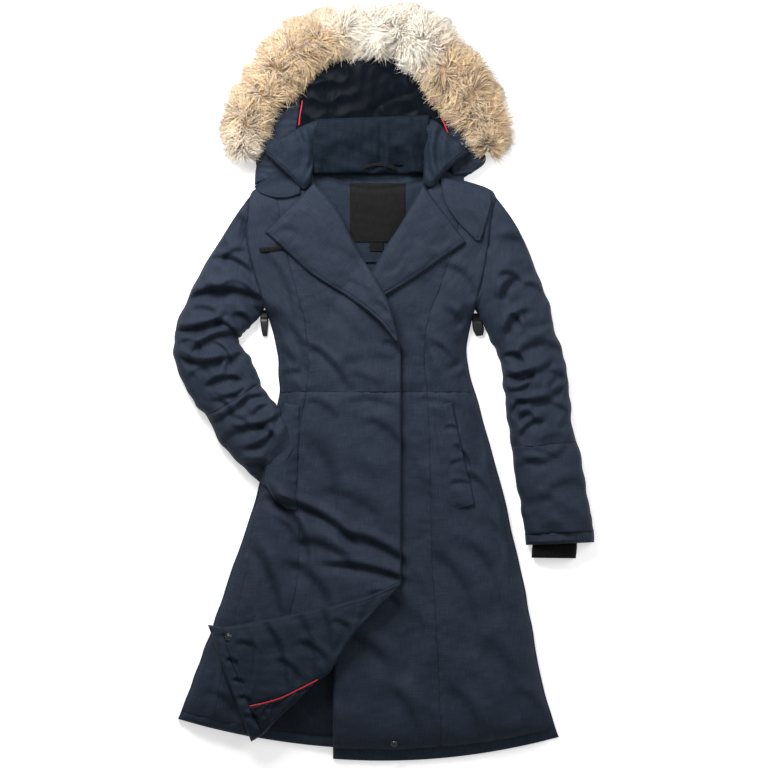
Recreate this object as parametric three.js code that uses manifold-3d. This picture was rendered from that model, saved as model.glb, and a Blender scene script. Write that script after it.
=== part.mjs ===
// A padded, hooded wrap coat, laid flat on its back with its right front lapped over its left.
// X runs across the coat (minus is the wearer's right), Y runs from hem to hood, Z is up.
// Every piece of cloth is a padded slab: a plan worked out from a short table of sections, a lower
// face that rests on what is beneath it and an upper face raised by the loft of its filling.
import * as THREE from "three";
import { mergeVertices } from "three/addons/utils/BufferGeometryUtils.js";
import Module from "manifold-3d";

const wasm = await Module();
wasm.setup();

// Driving dimensions, in millimetres.
const GAP = 0.3; // between pieces at a seam, and between layers
const CRUMB = 100; // a bit smaller than this is an offcut, in cubic millimetres
const TOUCH = 0.001; // two pieces share no more than this, in cubic millimetres
const BACK_LOFT = 21; // shell, filling and lining of the back
const FRONT_LOFT = 21; // the same, of each front
const WRAP_RISE = 15; // how far the right front rises where it laps over the left
const LAPEL_LOFT = 12;
const FLAP_LOFT = 15; // the turned-back corner of the right front
const HOOD_SHELL_LOFT = 15;
const HOOD_LINING_LOFT = 14;
const COLLAR_LOFT = 14;
const FUR_HEIGHT = 78;
const SLEEVE_UNDER_LOFT = 22;
const SLEEVE_TOP_LOFT = 28;
const EDGE_ROUND = 60; // how far in from a side the cloth reaches its full loft
const WAIST = -20; // level of the waist seam
const UNDERARM = 139; // level of the underarm
const HEM = -616; // level of the back hem at the side seams
const FRONT_HEM_DROP = 18; // the left front hangs this far below the back
const HEM_BAND = 18; // turned and stitched hem
const HEM_DIP = 46; // how far the hem's middle swings below its ends
const HEM_HALF_WIDTH = 340;
const FRONT_EDGE = 33; // the right front's edge, straight down from the lapel
const UNDER_EDGE = -90; // the left front's edge, hidden by the right front
const LABEL = { left: -59, right: 40, top: 355, height: 106, thick: 1.6 };
const TAG_THICK = 1.4;
const LINING_LOFT = 3.5; // of the thin lining inside the neck

// Rows of numbers with named columns.
const table = (columns, rows) =>
  rows.map((row) =>
    Object.fromEntries(columns.split(" ").map((name, i) => [name, row[i]])),
  );

// The two sides of the body from the shoulder to the hem: armholes, waist and skirt.
const SIDES = table("level right left", [
  [376, -128, 88],
  [362, -180, 140],
  [346, -228, 190],
  [330, -240, 203],
  [304, -244, 198],
  [254, -246, 191],
  [211, -238, 186],
  [171, -226, 177],
  [139, -215, 168],
  [101, -202, 158],
  [59, -192, 151],
  [20, -188, 154],
  [-20, -187, 166],
  [-85, -200, 184],
  [-184, -222, 212],
  [-265, -247, 231],
  [-338, -273, 249],
  [-436, -306, 268],
  [-544, -344, 289],
  [-616, -369, 311],
  [-650, -380, 321],
]);

// Front edges above the waist: the roll lines of the two lapels, then the wrap.
const FRONT_EDGES = table("level right left", [
  [376, -128, 88],
  [344, -117, 81],
  [304, -81, 50],
  [254, -54, 15],
  [211, -31, -11],
  [171, -5, -38],
  [139, 9, -56],
  [101, 22, -70],
  [59, 31, -83],
  [20, FRONT_EDGE, -88],
  [-20, FRONT_EDGE, UNDER_EDGE],
  [-650, FRONT_EDGE, UNDER_EDGE],
]);

// Seams that run down the body.
const RIGHT_PRINCESS_SEAM = table("x y", [
  [-196, 380],
  [-187, 304],
  [-178, 254],
  [-157, 171],
  [-140, 101],
  [-134, 20],
  [-138, WAIST],
  [-148, -85],
  [-153, -184],
  [-152, -338],
  [-170, -436],
  [-204, -544],
  [-240, -690],
]);
const LEFT_PRINCESS_SEAM = table("x y", [
  [145, 380],
  [139, 304],
  [131, 254],
  [103, 171],
  [79, 101],
  [75, 20],
  [79, WAIST],
  [83, -85],
  [86, -265],
  [95, -436],
  [108, -700],
]);
const RIGHT_SIDE_SEAM = table("x y", [
  [-262, -160],
  [-222, -187],
  [-228, -230],
  [-239, -310],
  [-268, -436],
  [-292, -544],
  [-312, -690],
]);

// The fold line of the turned-back corner, from the front edge down to the hem.
const FOLD_LINE = table("x y", [
  [34, -362],
  [2, -394],
  [-41, -441],
  [-94, -510],
  [-144, -563],
  [-185, -601],
  [-237, -648],
]);

// Sections of each piece in plan, from its first edge (ax, ay) to its second (bx, by).
const SECTION = "ax ay bx by";
const FLAP_SECTIONS = table(SECTION, [
  [31, -357, 33, -364],
  [-21, -382, -41, -441],
  [-93, -402, -94, -510],
  [-175, -420, -144, -563],
  [-247, -435, -196, -611],
  [-281, -446, -220, -634],
  [-315, -438, -237, -648],
]);
const RIGHT_LAPEL_SECTIONS = table(SECTION, [
  [-211, 266, -124, 355],
  [-191, 248, -94, 324],
  [-166, 225, -72, 290],
  [-133, 194, -52, 247],
  [-95, 169, -27, 205],
  [-61, 148, -9, 178],
  [-11, 108, 14, 131],
  [25, 65, 29, 72],
]);
const LEFT_LAPEL_SECTIONS = table(SECTION, [
  [149, 248, 72, 351],
  [121, 229, 58, 326],
  [97, 212, 41, 297],
  [72, 194, 23, 268],
  [45, 176, 5, 241],
  [16, 158, -16, 203],
  [-5, 146, -31, 178],
]);
const RIGHT_SLEEVE_SECTIONS = table(SECTION, [
  [-224, 350, -204, 141],
  [-275, 283, -219, 118],
  [-311, 225, -236, 101],
  [-342, 167, -247, 90],
  [-367, 110, -256, 81],
  [-379, 74, -258, 72],
  [-373, 36, -250, 56],
  [-355, -9, -236, 34],
  [-337, -41, -223, 7],
  [-317, -70, -214, -13],
  [-290, -112, -196, -38],
  [-257, -149, -184, -59],
  [-229, -175, -171, -85],
  [-200, -196, -158, -118],
]);
const LEFT_SLEEVE_SECTIONS = table(SECTION, [
  [196, 346, 160, 150],
  [245, 279, 163, 136],
  [270, 211, 175, 112],
  [292, 155, 189, 83],
  [308, 106, 203, 52],
  [322, 52, 214, 16],
  [331, 5, 220, -25],
  [338, -49, 222, -67],
  [349, -108, 230, -119],
  [361, -171, 241, -183],
  [371, -227, 249, -234],
  [379, -270, 256, -276],
]);
const RIGHT_ELBOW_SEAM = table("x y", [
  [-340, -74],
  [-312, -68],
  [-277, -36],
  [-239, -13],
  [-205, -11],
  [-180, -14],
]);
const LEFT_ELBOW_SEAM = table("x y", [
  [215, -120],
  [240, -119],
  [268, -117],
  [310, -112],
  [365, -104],
]);
const LEFT_CUFF_SECTIONS = table(SECTION, [
  [379.2, -270.4, 255, -276.4],
  [380, -281, 256, -286],
  [380, -290, 257, -295],
]);
const LEFT_RIB_SECTIONS = table(SECTION, [
  [344, -252, 273, -256],
  [348, -276, 271, -280],
  [349, -297, 268, -300],
  [347, -319, 267, -318],
]);
const RIGHT_POCKET_SECTIONS = table(SECTION, [
  [-176, -40, -149, -44],
  [-193, -85, -150, -85],
  [-209, -133, -152, -133],
  [-211, -175, -154, -178],
  [-196, -209, -155, -214],
  [-172, -229, -155, -231],
]);
const LEFT_POCKET_SECTIONS = table(SECTION, [
  [92, -45, 124, -38],
  [95, -88, 133, -83],
  [103, -151, 148, -151],
  [113, -211, 162, -209],
  [133, -232, 164, -222],
]);
const NECK_LINING_SECTIONS = table(SECTION, [
  [-126, 374, 86, 374],
  [-124, 344, 90, 344],
  [-106, 299, 66, 299],
  [-84, 254, 38, 254],
  [-55, 212, 12, 212],
]);
const HOOD_SECTIONS = table(SECTION, [
  [-212, 380, 128, 380],
  [-228, 397, 184, 397],
  [-222, 424, 174, 424],
  [-216, 450, 172, 450],
  [-208, 476, 156, 476],
  [-190, 510, 122, 510],
  [-158, 545, 88, 545],
  [-122, 574, 58, 574],
  [-80, 600, 30, 600],
]);
const HOOD_LINING_SECTIONS = table(SECTION, [
  [-168, 384, 124, 384],
  [-160, 420, 118, 420],
  [-152, 456, 113, 452],
  [-149, 484, 106, 476],
  [-147, 514, 92, 506],
  [-136, 536, 70, 534],
  [-112, 562, 46, 564],
  [-74, 588, 22, 588],
]);
const HOOD_BAND_RIGHT_SECTIONS = table(SECTION, [
  [-230, 363, -182, 382],
  [-228, 384, -169, 392],
  [-224, 408, -164, 412],
  [-216, 446, -156, 450],
  [-202, 480, -150, 484],
  [-184, 508, -148.6, 512],
]);
const HOOD_BAND_LEFT_SECTIONS = table(SECTION, [
  [126, 386, 160, 388],
  [121, 406, 184, 397],
  [117, 430, 177, 424],
  [113.6, 450, 170, 448],
  [107.6, 474, 152, 474],
]);
const FUR_SECTIONS = table(SECTION, [
  [-276, 416, -228, 396],
  [-288, 452, -203, 445],
  [-283, 499, -173, 492],
  [-252, 562, -139, 520],
  [-216, 616, -113, 545],
  [-167, 652, -92, 563],
  [-113, 672, -56, 568],
  [-59, 681, -31, 567],
  [4, 682, -9, 570],
  [63, 679, 16, 566],
  [112, 659, 34, 547],
  [149, 616, 56, 520],
  [189, 578, 76, 490],
  [216, 524, 96, 468],
  [228, 466, 131, 460],
  [221, 432, 157, 441],
  [200, 410, 178, 414],
]);
const STAND_SECTIONS = table(SECTION, [
  [-121, 372, 67, 374],
  [-131, 398, 70, 401],
  [-130, 434, 75, 437],
  [-116, 468, 77, 475],
]);
const RIGHT_LEAF_SECTIONS = table(SECTION, [
  [-116.6, 469, -131, 352],
  [-146, 457, -144, 341],
  [-175, 441, -167, 364],
  [-219, 427, -211, 408],
]);
const LEFT_LEAF_SECTIONS = table(SECTION, [
  [77.6, 473, 74, 352],
  [99, 463, 88, 346],
  [121, 441, 115, 378],
  [151, 418, 155, 410],
]);
const COLLAR_TAB_SECTIONS = table(SECTION, [
  [-231, 350, -229, 345],
  [-213, 362, -217, 335],
  [-191, 379, -194, 328],
  [-167, 384, -171, 328],
  [-146, 379, -148, 335],
]);
const STORM_FLAP_SECTIONS = table(SECTION, [
  [100, 368, 190, 343],
  [104, 353, 195, 324],
  [111, 319, 191, 304],
  [133, 286, 184, 279],
  [157, 261, 178, 259],
  [167, 250, 174, 250],
]);
const CHEST_ZIP_SECTIONS = table(SECTION, [
  [-213, 237, -211, 228],
  [-196, 241, -194, 232],
  [-176, 246, -174, 237],
]);
const HANGER_LOOP_SECTIONS = table(SECTION, [
  [-42, 386, -36, 379],
  [-26, 393, -22, 387],
  [-8, 396, -8, 390],
  [12, 392, 8, 386],
  [24, 385, 18, 378],
]);

// Smooth step from 0 to 1.
function ease(t) {
  const c = Math.min(1, Math.max(0, t));
  return c * c * (3 - 2 * c);
}

// A quarter round: 0 at an edge, 1 once the distance from it passes the reach.
function dome(distance, reach) {
  const c = Math.min(1, Math.max(0, distance / reach));
  return Math.sqrt(1 - (1 - c) ** 2);
}

// A column of a table read at any level, with straight lines between its rows.
function read(rows, column, level) {
  let i = rows.findIndex((row) => row.level <= level);
  if (i < 0) i = rows.length - 1;
  if (i === 0) i = 1;
  const [a, b] = [rows[i - 1], rows[i]];
  const t = (level - a.level) / (b.level - a.level);
  return a[column] + t * (b[column] - a[column]);
}

// How far the level lines swing down at a place: nothing at the waist, most at the hem.
function swing(level, x) {
  const t = Math.max(0, (WAIST - 80 - level) / (WAIST - 80 - HEM));
  return HEM_DIP * t * t * (1 - (x / HEM_HALF_WIDTH) ** 2);
}

const backHem = (x) => HEM - swing(HEM, x);
const shoulder = (x) => 376 - Math.max(0, Math.abs(x + 20) - 108) * 0.3;

// Share of the full loft at a place on the body: less at the sides, shoulders and hem.
function fullness(x, y) {
  const level = y + swing(y, x);
  const sideways = Math.min(
    x - read(SIDES, "right", level),
    read(SIDES, "left", level) - x,
  );
  const heldBySleeve = 70 * ease((y - UNDERARM + 30) / 60);
  const across = Math.max(0.3, dome(sideways + heldBySleeve, EDGE_ROUND));
  const below = 0.5 + 0.5 * dome(shoulder(x) - y, 70);
  const above = 0.4 + 0.6 * dome(y - backHem(x), 90);
  return Math.max(0.28, across * below * above);
}

// Where the left front's hem passes the back's, it settles from the back's top to the ground.
const settle = (x, y) => Math.min(0, (y - backHem(x)) * 0.4);

const backTop = (x, y) => BACK_LOFT * fullness(x, y);
const frontTop = (x, y) =>
  (BACK_LOFT + FRONT_LOFT) * fullness(x, y) + settle(x, y);

// The right front rises over the left front's hidden edge.
function wrapTop(x, y) {
  const edge = read(FRONT_EDGES, "left", Math.min(376, y));
  return (
    frontTop(x, y) + WRAP_RISE * ease((x - edge + 35) / 50) * fullness(x, y)
  );
}
const sunk = (top) => (x, y) => top(x, y) - 2;

// A plan between two edges that pass smoothly through a table's sections.
function ruled(sections) {
  const first = new THREE.SplineCurve(
    sections.map((s) => new THREE.Vector2(s.ax, s.ay)),
  );
  const second = new THREE.SplineCurve(
    sections.map((s) => new THREE.Vector2(s.bx, s.by)),
  );
  return (u, v) => first.getPoint(u).lerp(second.getPoint(u), v);
}

// A plan of level lines across the body, from one edge to another.
function levels(list, from, to) {
  return (u, v) => {
    const at = u * (list.length - 1);
    const i = Math.min(list.length - 2, Math.floor(at));
    const level = list[i] + (at - i) * (list[i + 1] - list[i]);
    const x = from(level) + v * (to(level) - from(level));
    return new THREE.Vector2(x, level - swing(level, x));
  };
}

// A three.js geometry as a solid that can be cut.
function solid(geometry) {
  const plain = geometry.clone();
  plain.deleteAttribute("normal");
  plain.deleteAttribute("uv");
  const merged = mergeVertices(plain, 1e-3);
  const vertProperties = new Float32Array(merged.attributes.position.array);
  const triVerts = new Uint32Array(merged.index.array);
  return new wasm.Manifold(
    new wasm.Mesh({ numProp: 3, vertProperties, triVerts }),
  );
}

// A padded slab over a plan, cut in strips along it and across it. low and high give its faces.
function slab(plan, along, across, low, high) {
  const positions = [];
  for (const face of [low, high])
    for (let i = 0; i <= along; i++)
      for (let j = 0; j <= across; j++) {
        const [u, v] = [i / along, j / across];
        const p = plan(u, v);
        positions.push(p.x, p.y, face(p.x, p.y, u, v));
      }
  const corner = (face, i, j) => (face * (along + 1) + i) * (across + 1) + j;
  const index = [];
  const quad = (a, b, c, d) => index.push(a, b, c, a, c, d);
  for (let i = 0; i < along; i++)
    for (let j = 0; j < across; j++) {
      quad(...[[i, j], [i, j + 1], [i + 1, j + 1], [i + 1, j]].map((c) => corner(0, ...c)));
      quad(...[[i, j], [i + 1, j], [i + 1, j + 1], [i, j + 1]].map((c) => corner(1, ...c)));
    }
  const wall = ([i, j], [k, l]) =>
    quad(corner(0, k, l), corner(0, i, j), corner(1, i, j), corner(1, k, l));
  for (let j = 0; j < across; j++) {
    wall([0, j], [0, j + 1]);
    wall([along, j + 1], [along, j]);
  }
  for (let i = 0; i < along; i++) {
    wall([i + 1, 0], [i, 0]);
    wall([i, across], [i + 1, across]);
  }
  const at = (i, j) => plan(i, j);
  const turn = at(1, 0).sub(at(0, 0)).cross(at(0, 1).sub(at(0, 0)));
  if (turn < 0) index.reverse();
  const geometry = new THREE.BufferGeometry();
  geometry.setAttribute("position", new THREE.Float32BufferAttribute(positions, 3));
  geometry.setIndex(index);
  return solid(geometry);
}

// A thin upright blade along a seam, which leaves the seam's gap where it cuts.
function blade(points) {
  const line = points.map((p) => new THREE.Vector2(p.x, p.y));
  const offset = (side) =>
    line.map((p, i) => {
      const before = line[Math.max(0, i - 1)];
      const after = line[Math.min(line.length - 1, i + 1)];
      const along = after.clone().sub(before).normalize();
      return new THREE.Vector2(-along.y, along.x).multiplyScalar((side * GAP) / 2).add(p);
    });
  return upright([...offset(1), ...offset(-1).reverse()]);
}

// An upright prism of an outline, taller than the coat.
function upright(outline) {
  const shape = new THREE.Shape(outline);
  const geometry = new THREE.ExtrudeGeometry(shape, { depth: 300, bevelEnabled: false });
  return solid(geometry.translate(0, 0, -50));
}

// The pieces of a solid parted by a thin blade or sheet, ordered along an axis (0 X, 1 Y, 2 Z).
function part(piece, knife, axis) {
  const middle = (s) => s.boundingBox().min[axis] + s.boundingBox().max[axis];
  return piece
    .subtract(knife)
    .decompose()
    .filter((s) => s.volume() > CRUMB)
    .sort((a, b) => middle(a) - middle(b));
}
const cut = (piece, seam, axis) => part(piece, blade(seam), axis);

// A plan grown past its ends and edges, for a sheet that parts a slab all the way through.
function grown(plan) {
  const inset = (t, margin) => t * (1 + 2 * margin) - margin;
  return (u, v) => {
    const along = inset(u, 0.03);
    const end = Math.min(1, Math.max(0, along));
    const across = inset(v, 0.1);
    const p = plan(end, across);
    const back = plan(end === 1 ? 0.97 : end + 0.03, across);
    return p.add(p.clone().sub(back).multiplyScalar(Math.abs(along - end) / 0.03));
  };
}

// A piece with its neighbours taken out of it, each moved by the seam gap in the given ways.
function clear(piece, neighbours, ways = ["up"]) {
  const MOVES = {
    up: [0, 0, GAP],
    down: [0, 0, -1],
    right: [-GAP, 0, 0],
    left: [GAP, 0, 0],
    hood: [0, GAP, 0],
    hem: [0, -GAP, 0],
  };
  let rest = piece;
  for (const neighbour of neighbours.filter((other) => near(piece, other))) {
    const copies = ways.map((way) => neighbour.translate(MOVES[way]));
    for (const copy of [neighbour, ...copies]) {
      const smaller = rest.subtract(copy);
      smaller.status();
      if (rest !== piece) rest.delete();
      rest = smaller;
    }
    copies.forEach((copy) => copy.delete());
  }
  return largest(rest);
}

// The largest body of a solid.
function largest(piece) {
  const bodies = piece.decompose().sort((a, b) => b.volume() - a.volume());
  bodies.slice(1).forEach((crumb) => crumb.delete());
  return bodies[0];
}

// A solid as a three.js geometry.
function geometryOf(piece) {
  const mesh = piece.getMesh();
  const corners = new Float32Array(mesh.numVert * 3);
  for (let i = 0; i < mesh.numVert; i++)
    corners.set(mesh.vertProperties.subarray(i * mesh.numProp, i * mesh.numProp + 3), i * 3);
  const geometry = new THREE.BufferGeometry();
  geometry.setAttribute("position", new THREE.BufferAttribute(corners, 3));
  geometry.setIndex(new THREE.BufferAttribute(mesh.triVerts, 1));
  return geometry;
}

// Whether two solids' boxes come within reach of each other.
function near(one, other, reach = 2) {
  const [a, b] = [one.boundingBox(), other.boundingBox()];
  return [0, 1, 2].every((i) => a.min[i] - reach < b.max[i] && b.min[i] - reach < a.max[i]);
}

// The body: back, then the left front on it, then the right front over both.
const ROWS = [
  376, 354, 320, 260, 200, 150, 100, 40, WAIST, -90, -180, -270, -360, -450, -530, -585, HEM,
];
const rightSide = (level) => read(SIDES, "right", level);
const leftSide = (level) => read(SIDES, "left", level);
const rightFrontEdge = (level) => read(FRONT_EDGES, "right", level);
const leftFrontEdge = (level) => read(FRONT_EDGES, "left", level);
const line = (level, from = -420) =>
  Array.from({ length: 15 }, (_, i) => from + 60 * i).map((x) => ({
    x,
    y: level - swing(level, x),
  }));
const waistSeam = line(WAIST);

const back = slab(levels(ROWS, rightSide, leftSide), 16, 10, () => 0, backTop);
const [backBelow, backBodice] = cut(back, waistSeam, 1);
const [backHemBand, backSkirt] = cut(backBelow, line(HEM + HEM_BAND), 1);

const neckLining = clear(
  slab(
    ruled(NECK_LINING_SECTIONS),
    5,
    5,
    sunk(backTop),
    (x, y) => backTop(x, y) + LINING_LOFT,
  ),
  [back],
);
const openingLining = clear(
  slab(
    levels([-440, -500, -560, HEM + HEM_BAND + 2], () => -250, () => -30),
    4,
    6,
    sunk(backTop),
    (x, y) => backTop(x, y) + 2.5,
  ),
  [back],
);

const leftLow = (x, y) => Math.max(0, backTop(x, y) - 2 + settle(x, y));
const leftRows = ROWS.map((level) => (level === HEM ? HEM - FRONT_HEM_DROP : level));
const leftFront = clear(
  slab(levels(leftRows, leftFrontEdge, leftSide), 16, 8, leftLow, frontTop),
  [back, neckLining, openingLining],
);
const [leftBelow, leftAbove] = cut(leftFront, waistSeam, 1);
const [leftFrontBodice, leftSideBodice] = cut(leftAbove, LEFT_PRINCESS_SEAM, 0);
const [leftHem, leftMain] = cut(leftBelow, line(HEM - FRONT_HEM_DROP + HEM_BAND), 1);
const [leftFrontSkirt, leftSideSkirt] = cut(leftMain, LEFT_PRINCESS_SEAM, 0);

const wrapLow = (x, y) => {
  const edge = read(FRONT_EDGES, "left", Math.min(376, y));
  const over = ease((x - edge + 35) / 40);
  return backTop(x, y) - 2 + over * (frontTop(x, y) - backTop(x, y));
};
const beyondFold = upright(
  [...FOLD_LINE, { x: -240, y: -720 }, { x: 120, y: -720 }, { x: 120, y: -355 }].map(
    (p) => new THREE.Vector2(p.x, p.y),
  ),
);
const rightFront = clear(
  slab(levels(ROWS, rightSide, rightFrontEdge), 16, 8, wrapLow, wrapTop).subtract(beyondFold),
  [back, neckLining, openingLining, leftFront],
);
const [rightBelow, rightAbove] = cut(rightFront, waistSeam, 1);
const [rightSideBodice, rightFrontBodice] = cut(rightAbove, RIGHT_PRINCESS_SEAM, 0);
const [rightHem, rightMain] = cut(rightBelow, line(HEM + HEM_BAND), 1);
const [rightOuter, rightFrontSkirt] = cut(rightMain, RIGHT_PRINCESS_SEAM, 0);
const [rightBackSkirt, rightSideSkirt] = cut(rightOuter, RIGHT_SIDE_SEAM, 0);
const body = [back, neckLining, openingLining, leftFront, rightFront];

// The corner of the right front turned back on itself: facing, lining corner, hem and piping.
const flapTop = (x, y, u, v) =>
  wrapTop(x, y) + FLAP_LOFT * (0.45 + 0.55 * dome(Math.min(v, 1 - v), 0.2));
const flap = clear(
  slab(ruled(FLAP_SECTIONS), 8, 5, (x, y) => wrapTop(x, y) - 2, flapTop),
  body,
);
const FLAP_HEM_SEAM = table("x y", [
  [-300, -420],
  [-291, -446],
  [-272, -498],
  [-240, -584],
  [-214, -632],
  [-205, -660],
]);
const PIPING_LINE = table("x y", [
  [-262, -584],
  [-240, -582],
  [-180, -566],
  [-149, -551],
  [-116, -534],
  [-90, -520],
]);
const [flapHem, flapMain] = cut(flap, FLAP_HEM_SEAM, 0);
const [flapLining, flapFacing] = cut(flapMain, PIPING_LINE, 1);

// A round cord or piping along a table of points, a little above the cloth it is sewn to.
function piping(points, radius, height) {
  const path = new THREE.CatmullRomCurve3(
    points.map((p) => new THREE.Vector3(p.x, p.y, height(p.x, p.y))),
  );
  const round = new THREE.Shape(
    Array.from({ length: 8 }, (_, i) => {
      const angle = (i / 8) * 2 * Math.PI;
      return new THREE.Vector2(radius * Math.cos(angle), radius * Math.sin(angle));
    }),
  );
  return solid(
    new THREE.ExtrudeGeometry(round, { steps: 8, extrudePath: path, bevelEnabled: false }),
  );
}
const flapPiping = clear(
  piping(PIPING_LINE.slice(1, 5), 1.4, (x, y) => wrapTop(x, y) + FLAP_LOFT + 0.6),
  [flap],
);

// Lapels, each lying on its own front.
const lapelTop = (top) => (x, y, u, v) =>
  top(x, y) + LAPEL_LOFT * (0.5 + 0.5 * dome(Math.min(v, 1 - v, u * 2, (1 - u) * 2), 0.25));
const leftLapel = clear(
  slab(ruled(LEFT_LAPEL_SECTIONS), 7, 4, sunk(frontTop), lapelTop(frontTop)),
  body,
);
const rightLapel = clear(
  slab(
    ruled(RIGHT_LAPEL_SECTIONS),
    9,
    4,
    (x, y) => wrapTop(x, y) - 2,
    (x, y, u, v) => lapelTop(wrapTop)(x, y, u, v) + 8 * ease((x + 60) / 50) * ease((190 - y) / 40),
  ),
  [...body, leftLapel],
);

// Sleeves: an under and a top half, seamed at the elbow, from the armhole to the hand.
const onBody = (x, y) => {
  const level = y + swing(y, x);
  const inside = Math.min(x - rightSide(level), leftSide(level) - x);
  return ease((inside + 35) / 45) * frontTop(x, y) * ease((90 - y) / 60);
};
const roundArm = (v) => 0.32 + 0.68 * dome(Math.min(v, 1 - v), 0.5);
const intoPocket = (u) => 1 - 0.72 * ease((u - 0.86) / 0.12);
const sleeveUnder = (fade) => (x, y, u, v) =>
  onBody(x, y) + SLEEVE_UNDER_LOFT * roundArm(v) * fade(u);
const sleeveTop = (fade) => (x, y, u, v) =>
  onBody(x, y) + (SLEEVE_UNDER_LOFT + SLEEVE_TOP_LOFT) * roundArm(v) * fade(u);
const constant = () => 1;

function sleeve(sections, side, elbow, fade, steps) {
  const plan = ruled(sections);
  const arm = clear(slab(plan, steps, 5, () => 0, sleeveTop(fade)), body, ["up", side]);
  const middle = sleeveUnder(fade);
  const inside = (x, y, u, v) => middle(x, y, Math.min(1, Math.max(0, u)), v);
  const sheet = slab(grown(plan), steps, 5, inside, (x, y, u, v) => inside(x, y, u, v) + GAP);
  const [under, top] = part(arm, sheet, 2);
  return [arm, under, ...cut(top, elbow, 1)];
}
const [rightArm, rightUnderSleeve, rightForearm, rightUpperSleeve] = sleeve(
  RIGHT_SLEEVE_SECTIONS,
  "right",
  RIGHT_ELBOW_SEAM,
  intoPocket,
  13,
);
const [leftArm, leftUnderSleeve, leftForearm, leftUpperSleeve] = sleeve(
  LEFT_SLEEVE_SECTIONS,
  "left",
  LEFT_ELBOW_SEAM,
  constant,
  10,
);

const leftRib = slab(
  ruled(LEFT_RIB_SECTIONS),
  3,
  5,
  (x, y) => 8 * ease((y + 300) / 40),
  (x, y, u, v) => 12 + 12 * dome(Math.min(v, 1 - v), 0.5),
);
const ribUnderCuff = clear(leftRib, [leftArm], ["up", "hem"]);
const leftCuff = clear(
  slab(
    ruled(LEFT_CUFF_SECTIONS),
    2,
    6,
    () => 0,
    (x, y, u, v) => (SLEEVE_UNDER_LOFT + SLEEVE_TOP_LOFT) * 0.82 * roundArm(v),
  ),
  [leftArm, ribUnderCuff, ribUnderCuff.translate([0, 0, -2 * GAP])],
  ["up", "hem"],
);

// Pockets: the right one raised by the hand of the sleeve in it, the left one a welt.
const pocketRise = (x, y, u, v) =>
  frontTop(x, y) + 4 + 22 * (1 - v) * Math.sin(Math.PI * (0.15 + 0.7 * u));
const rightPocket = clear(
  clear(
    slab(ruled(RIGHT_POCKET_SECTIONS), 6, 3, sunk(frontTop), pocketRise),
    [rightArm],
    ["up", "down"],
  ),
  body,
);
const leftPocket = clear(
  slab(ruled(LEFT_POCKET_SECTIONS), 6, 3, sunk(frontTop), (x, y, u, v) =>
    frontTop(x, y) + 3 + 4 * dome(Math.min(v, 1 - v), 0.5),
  ),
  body,
);

// The hood, spread flat behind the collar: shell, then lining and bands, then the fur.
const hoodTop = (x, y, u, v) =>
  HOOD_SHELL_LOFT * (0.5 + 0.5 * dome(Math.min(v, 1 - v, (1 - u) * 1.5, u * 2), 0.2));
const hoodShell = clear(
  slab(ruled(HOOD_SECTIONS), 6, 6, () => 0, hoodTop),
  [back],
  ["hood"],
);
const hoodInside = (loft) => (x, y, u, v) =>
  HOOD_SHELL_LOFT + loft * (0.4 + 0.6 * dome(Math.min(v, 1 - v, (1 - u) * 1.5), 0.25));
const lowOnHood = (x, y) => (y > 380 ? 6 : 8);
const hoodLining = clear(
  slab(ruled(HOOD_LINING_SECTIONS), 5, 5, lowOnHood, hoodInside(HOOD_LINING_LOFT)),
  [hoodShell, ...body],
  ["up"],
);
const hoodBand = (sections) =>
  clear(
    slab(ruled(sections), 6, 3, () => 0.5, hoodInside(9)),
    [hoodShell, hoodLining, ...body],
    ["up", "hood"],
  );
const hoodBandRight = clear(hoodBand(HOOD_BAND_RIGHT_SECTIONS), [hoodLining], ["right"]);
const hoodBandLeft = clear(hoodBand(HOOD_BAND_LEFT_SECTIONS), [hoodLining], ["left"]);
const hoodPieces = [hoodShell, hoodLining, hoodBandRight, hoodBandLeft];

const furTop = (x, y, u, v) => {
  const across = Math.sqrt(Math.max(0, 1 - (2 * v - 1) ** 2));
  const ends = dome(Math.min(u, 1 - u), 0.06);
  return 12 + (FUR_HEIGHT - 12) * across * (0.55 + 0.45 * ends);
};
const fur = slab(ruled(FUR_SECTIONS), 20, 5, () => 0, furTop);
const furOnHood = clear(fur, hoodPieces, ["up"]);
const [furRight, furRest] = cut(furOnHood, [{ x: -200, y: 720 }, { x: -100, y: 540 }], 0);
const [furTopPiece, furLeft] = cut(furRest, [{ x: 25, y: 540 }, { x: 170, y: 720 }], 0);

// The collar: a stand turned up over the hood, and its two leaves spread sideways.
const underCollar = [...hoodPieces, furOnHood, ...body, rightLapel, leftLapel];
const tabLow = (x, y) => Math.max(6, frontTop(x, Math.min(y, shoulder(x))) - 3);
const tabTop = (x, y) => Math.max(26, frontTop(x, Math.min(y, shoulder(x) - 6)) + 5);
const collarTab = clear(slab(ruled(COLLAR_TAB_SECTIONS), 5, 2, tabLow, tabTop), [
  ...hoodPieces,
  ...body,
]);
const collarTop = (height) => (x, y, u, v) =>
  height + COLLAR_LOFT * dome(Math.min(v, 1 - v, u * 1.5, (1 - u) * 1.5), 0.25);
const collarStand = clear(
  slab(ruled(STAND_SECTIONS), 4, 5, () => 22, collarTop(34)),
  underCollar,
  ["up"],
);
const leaf = (sections) =>
  clear(slab(ruled(sections), 4, 4, () => 26, collarTop(40)), [
    ...underCollar,
    collarTab,
    collarStand,
  ]);
const rightLeaf = clear(leaf(RIGHT_LEAF_SECTIONS), [collarStand], ["right"]);
const leftLeaf = clear(leaf(LEFT_LEAF_SECTIONS), [collarStand], ["left"]);
const stormLow = (x, y) => frontTop(x, Math.min(y, shoulder(x))) - 2;
const stormTop = (x, y) => frontTop(x, Math.min(y, shoulder(x) - 8)) + 6;
const stormFlap = clear(slab(ruled(STORM_FLAP_SECTIONS), 5, 3, stormLow, stormTop), [
  ...body,
  leftLapel,
  leftLeaf,
  leftArm,
  ...hoodPieces,
]);

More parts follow.
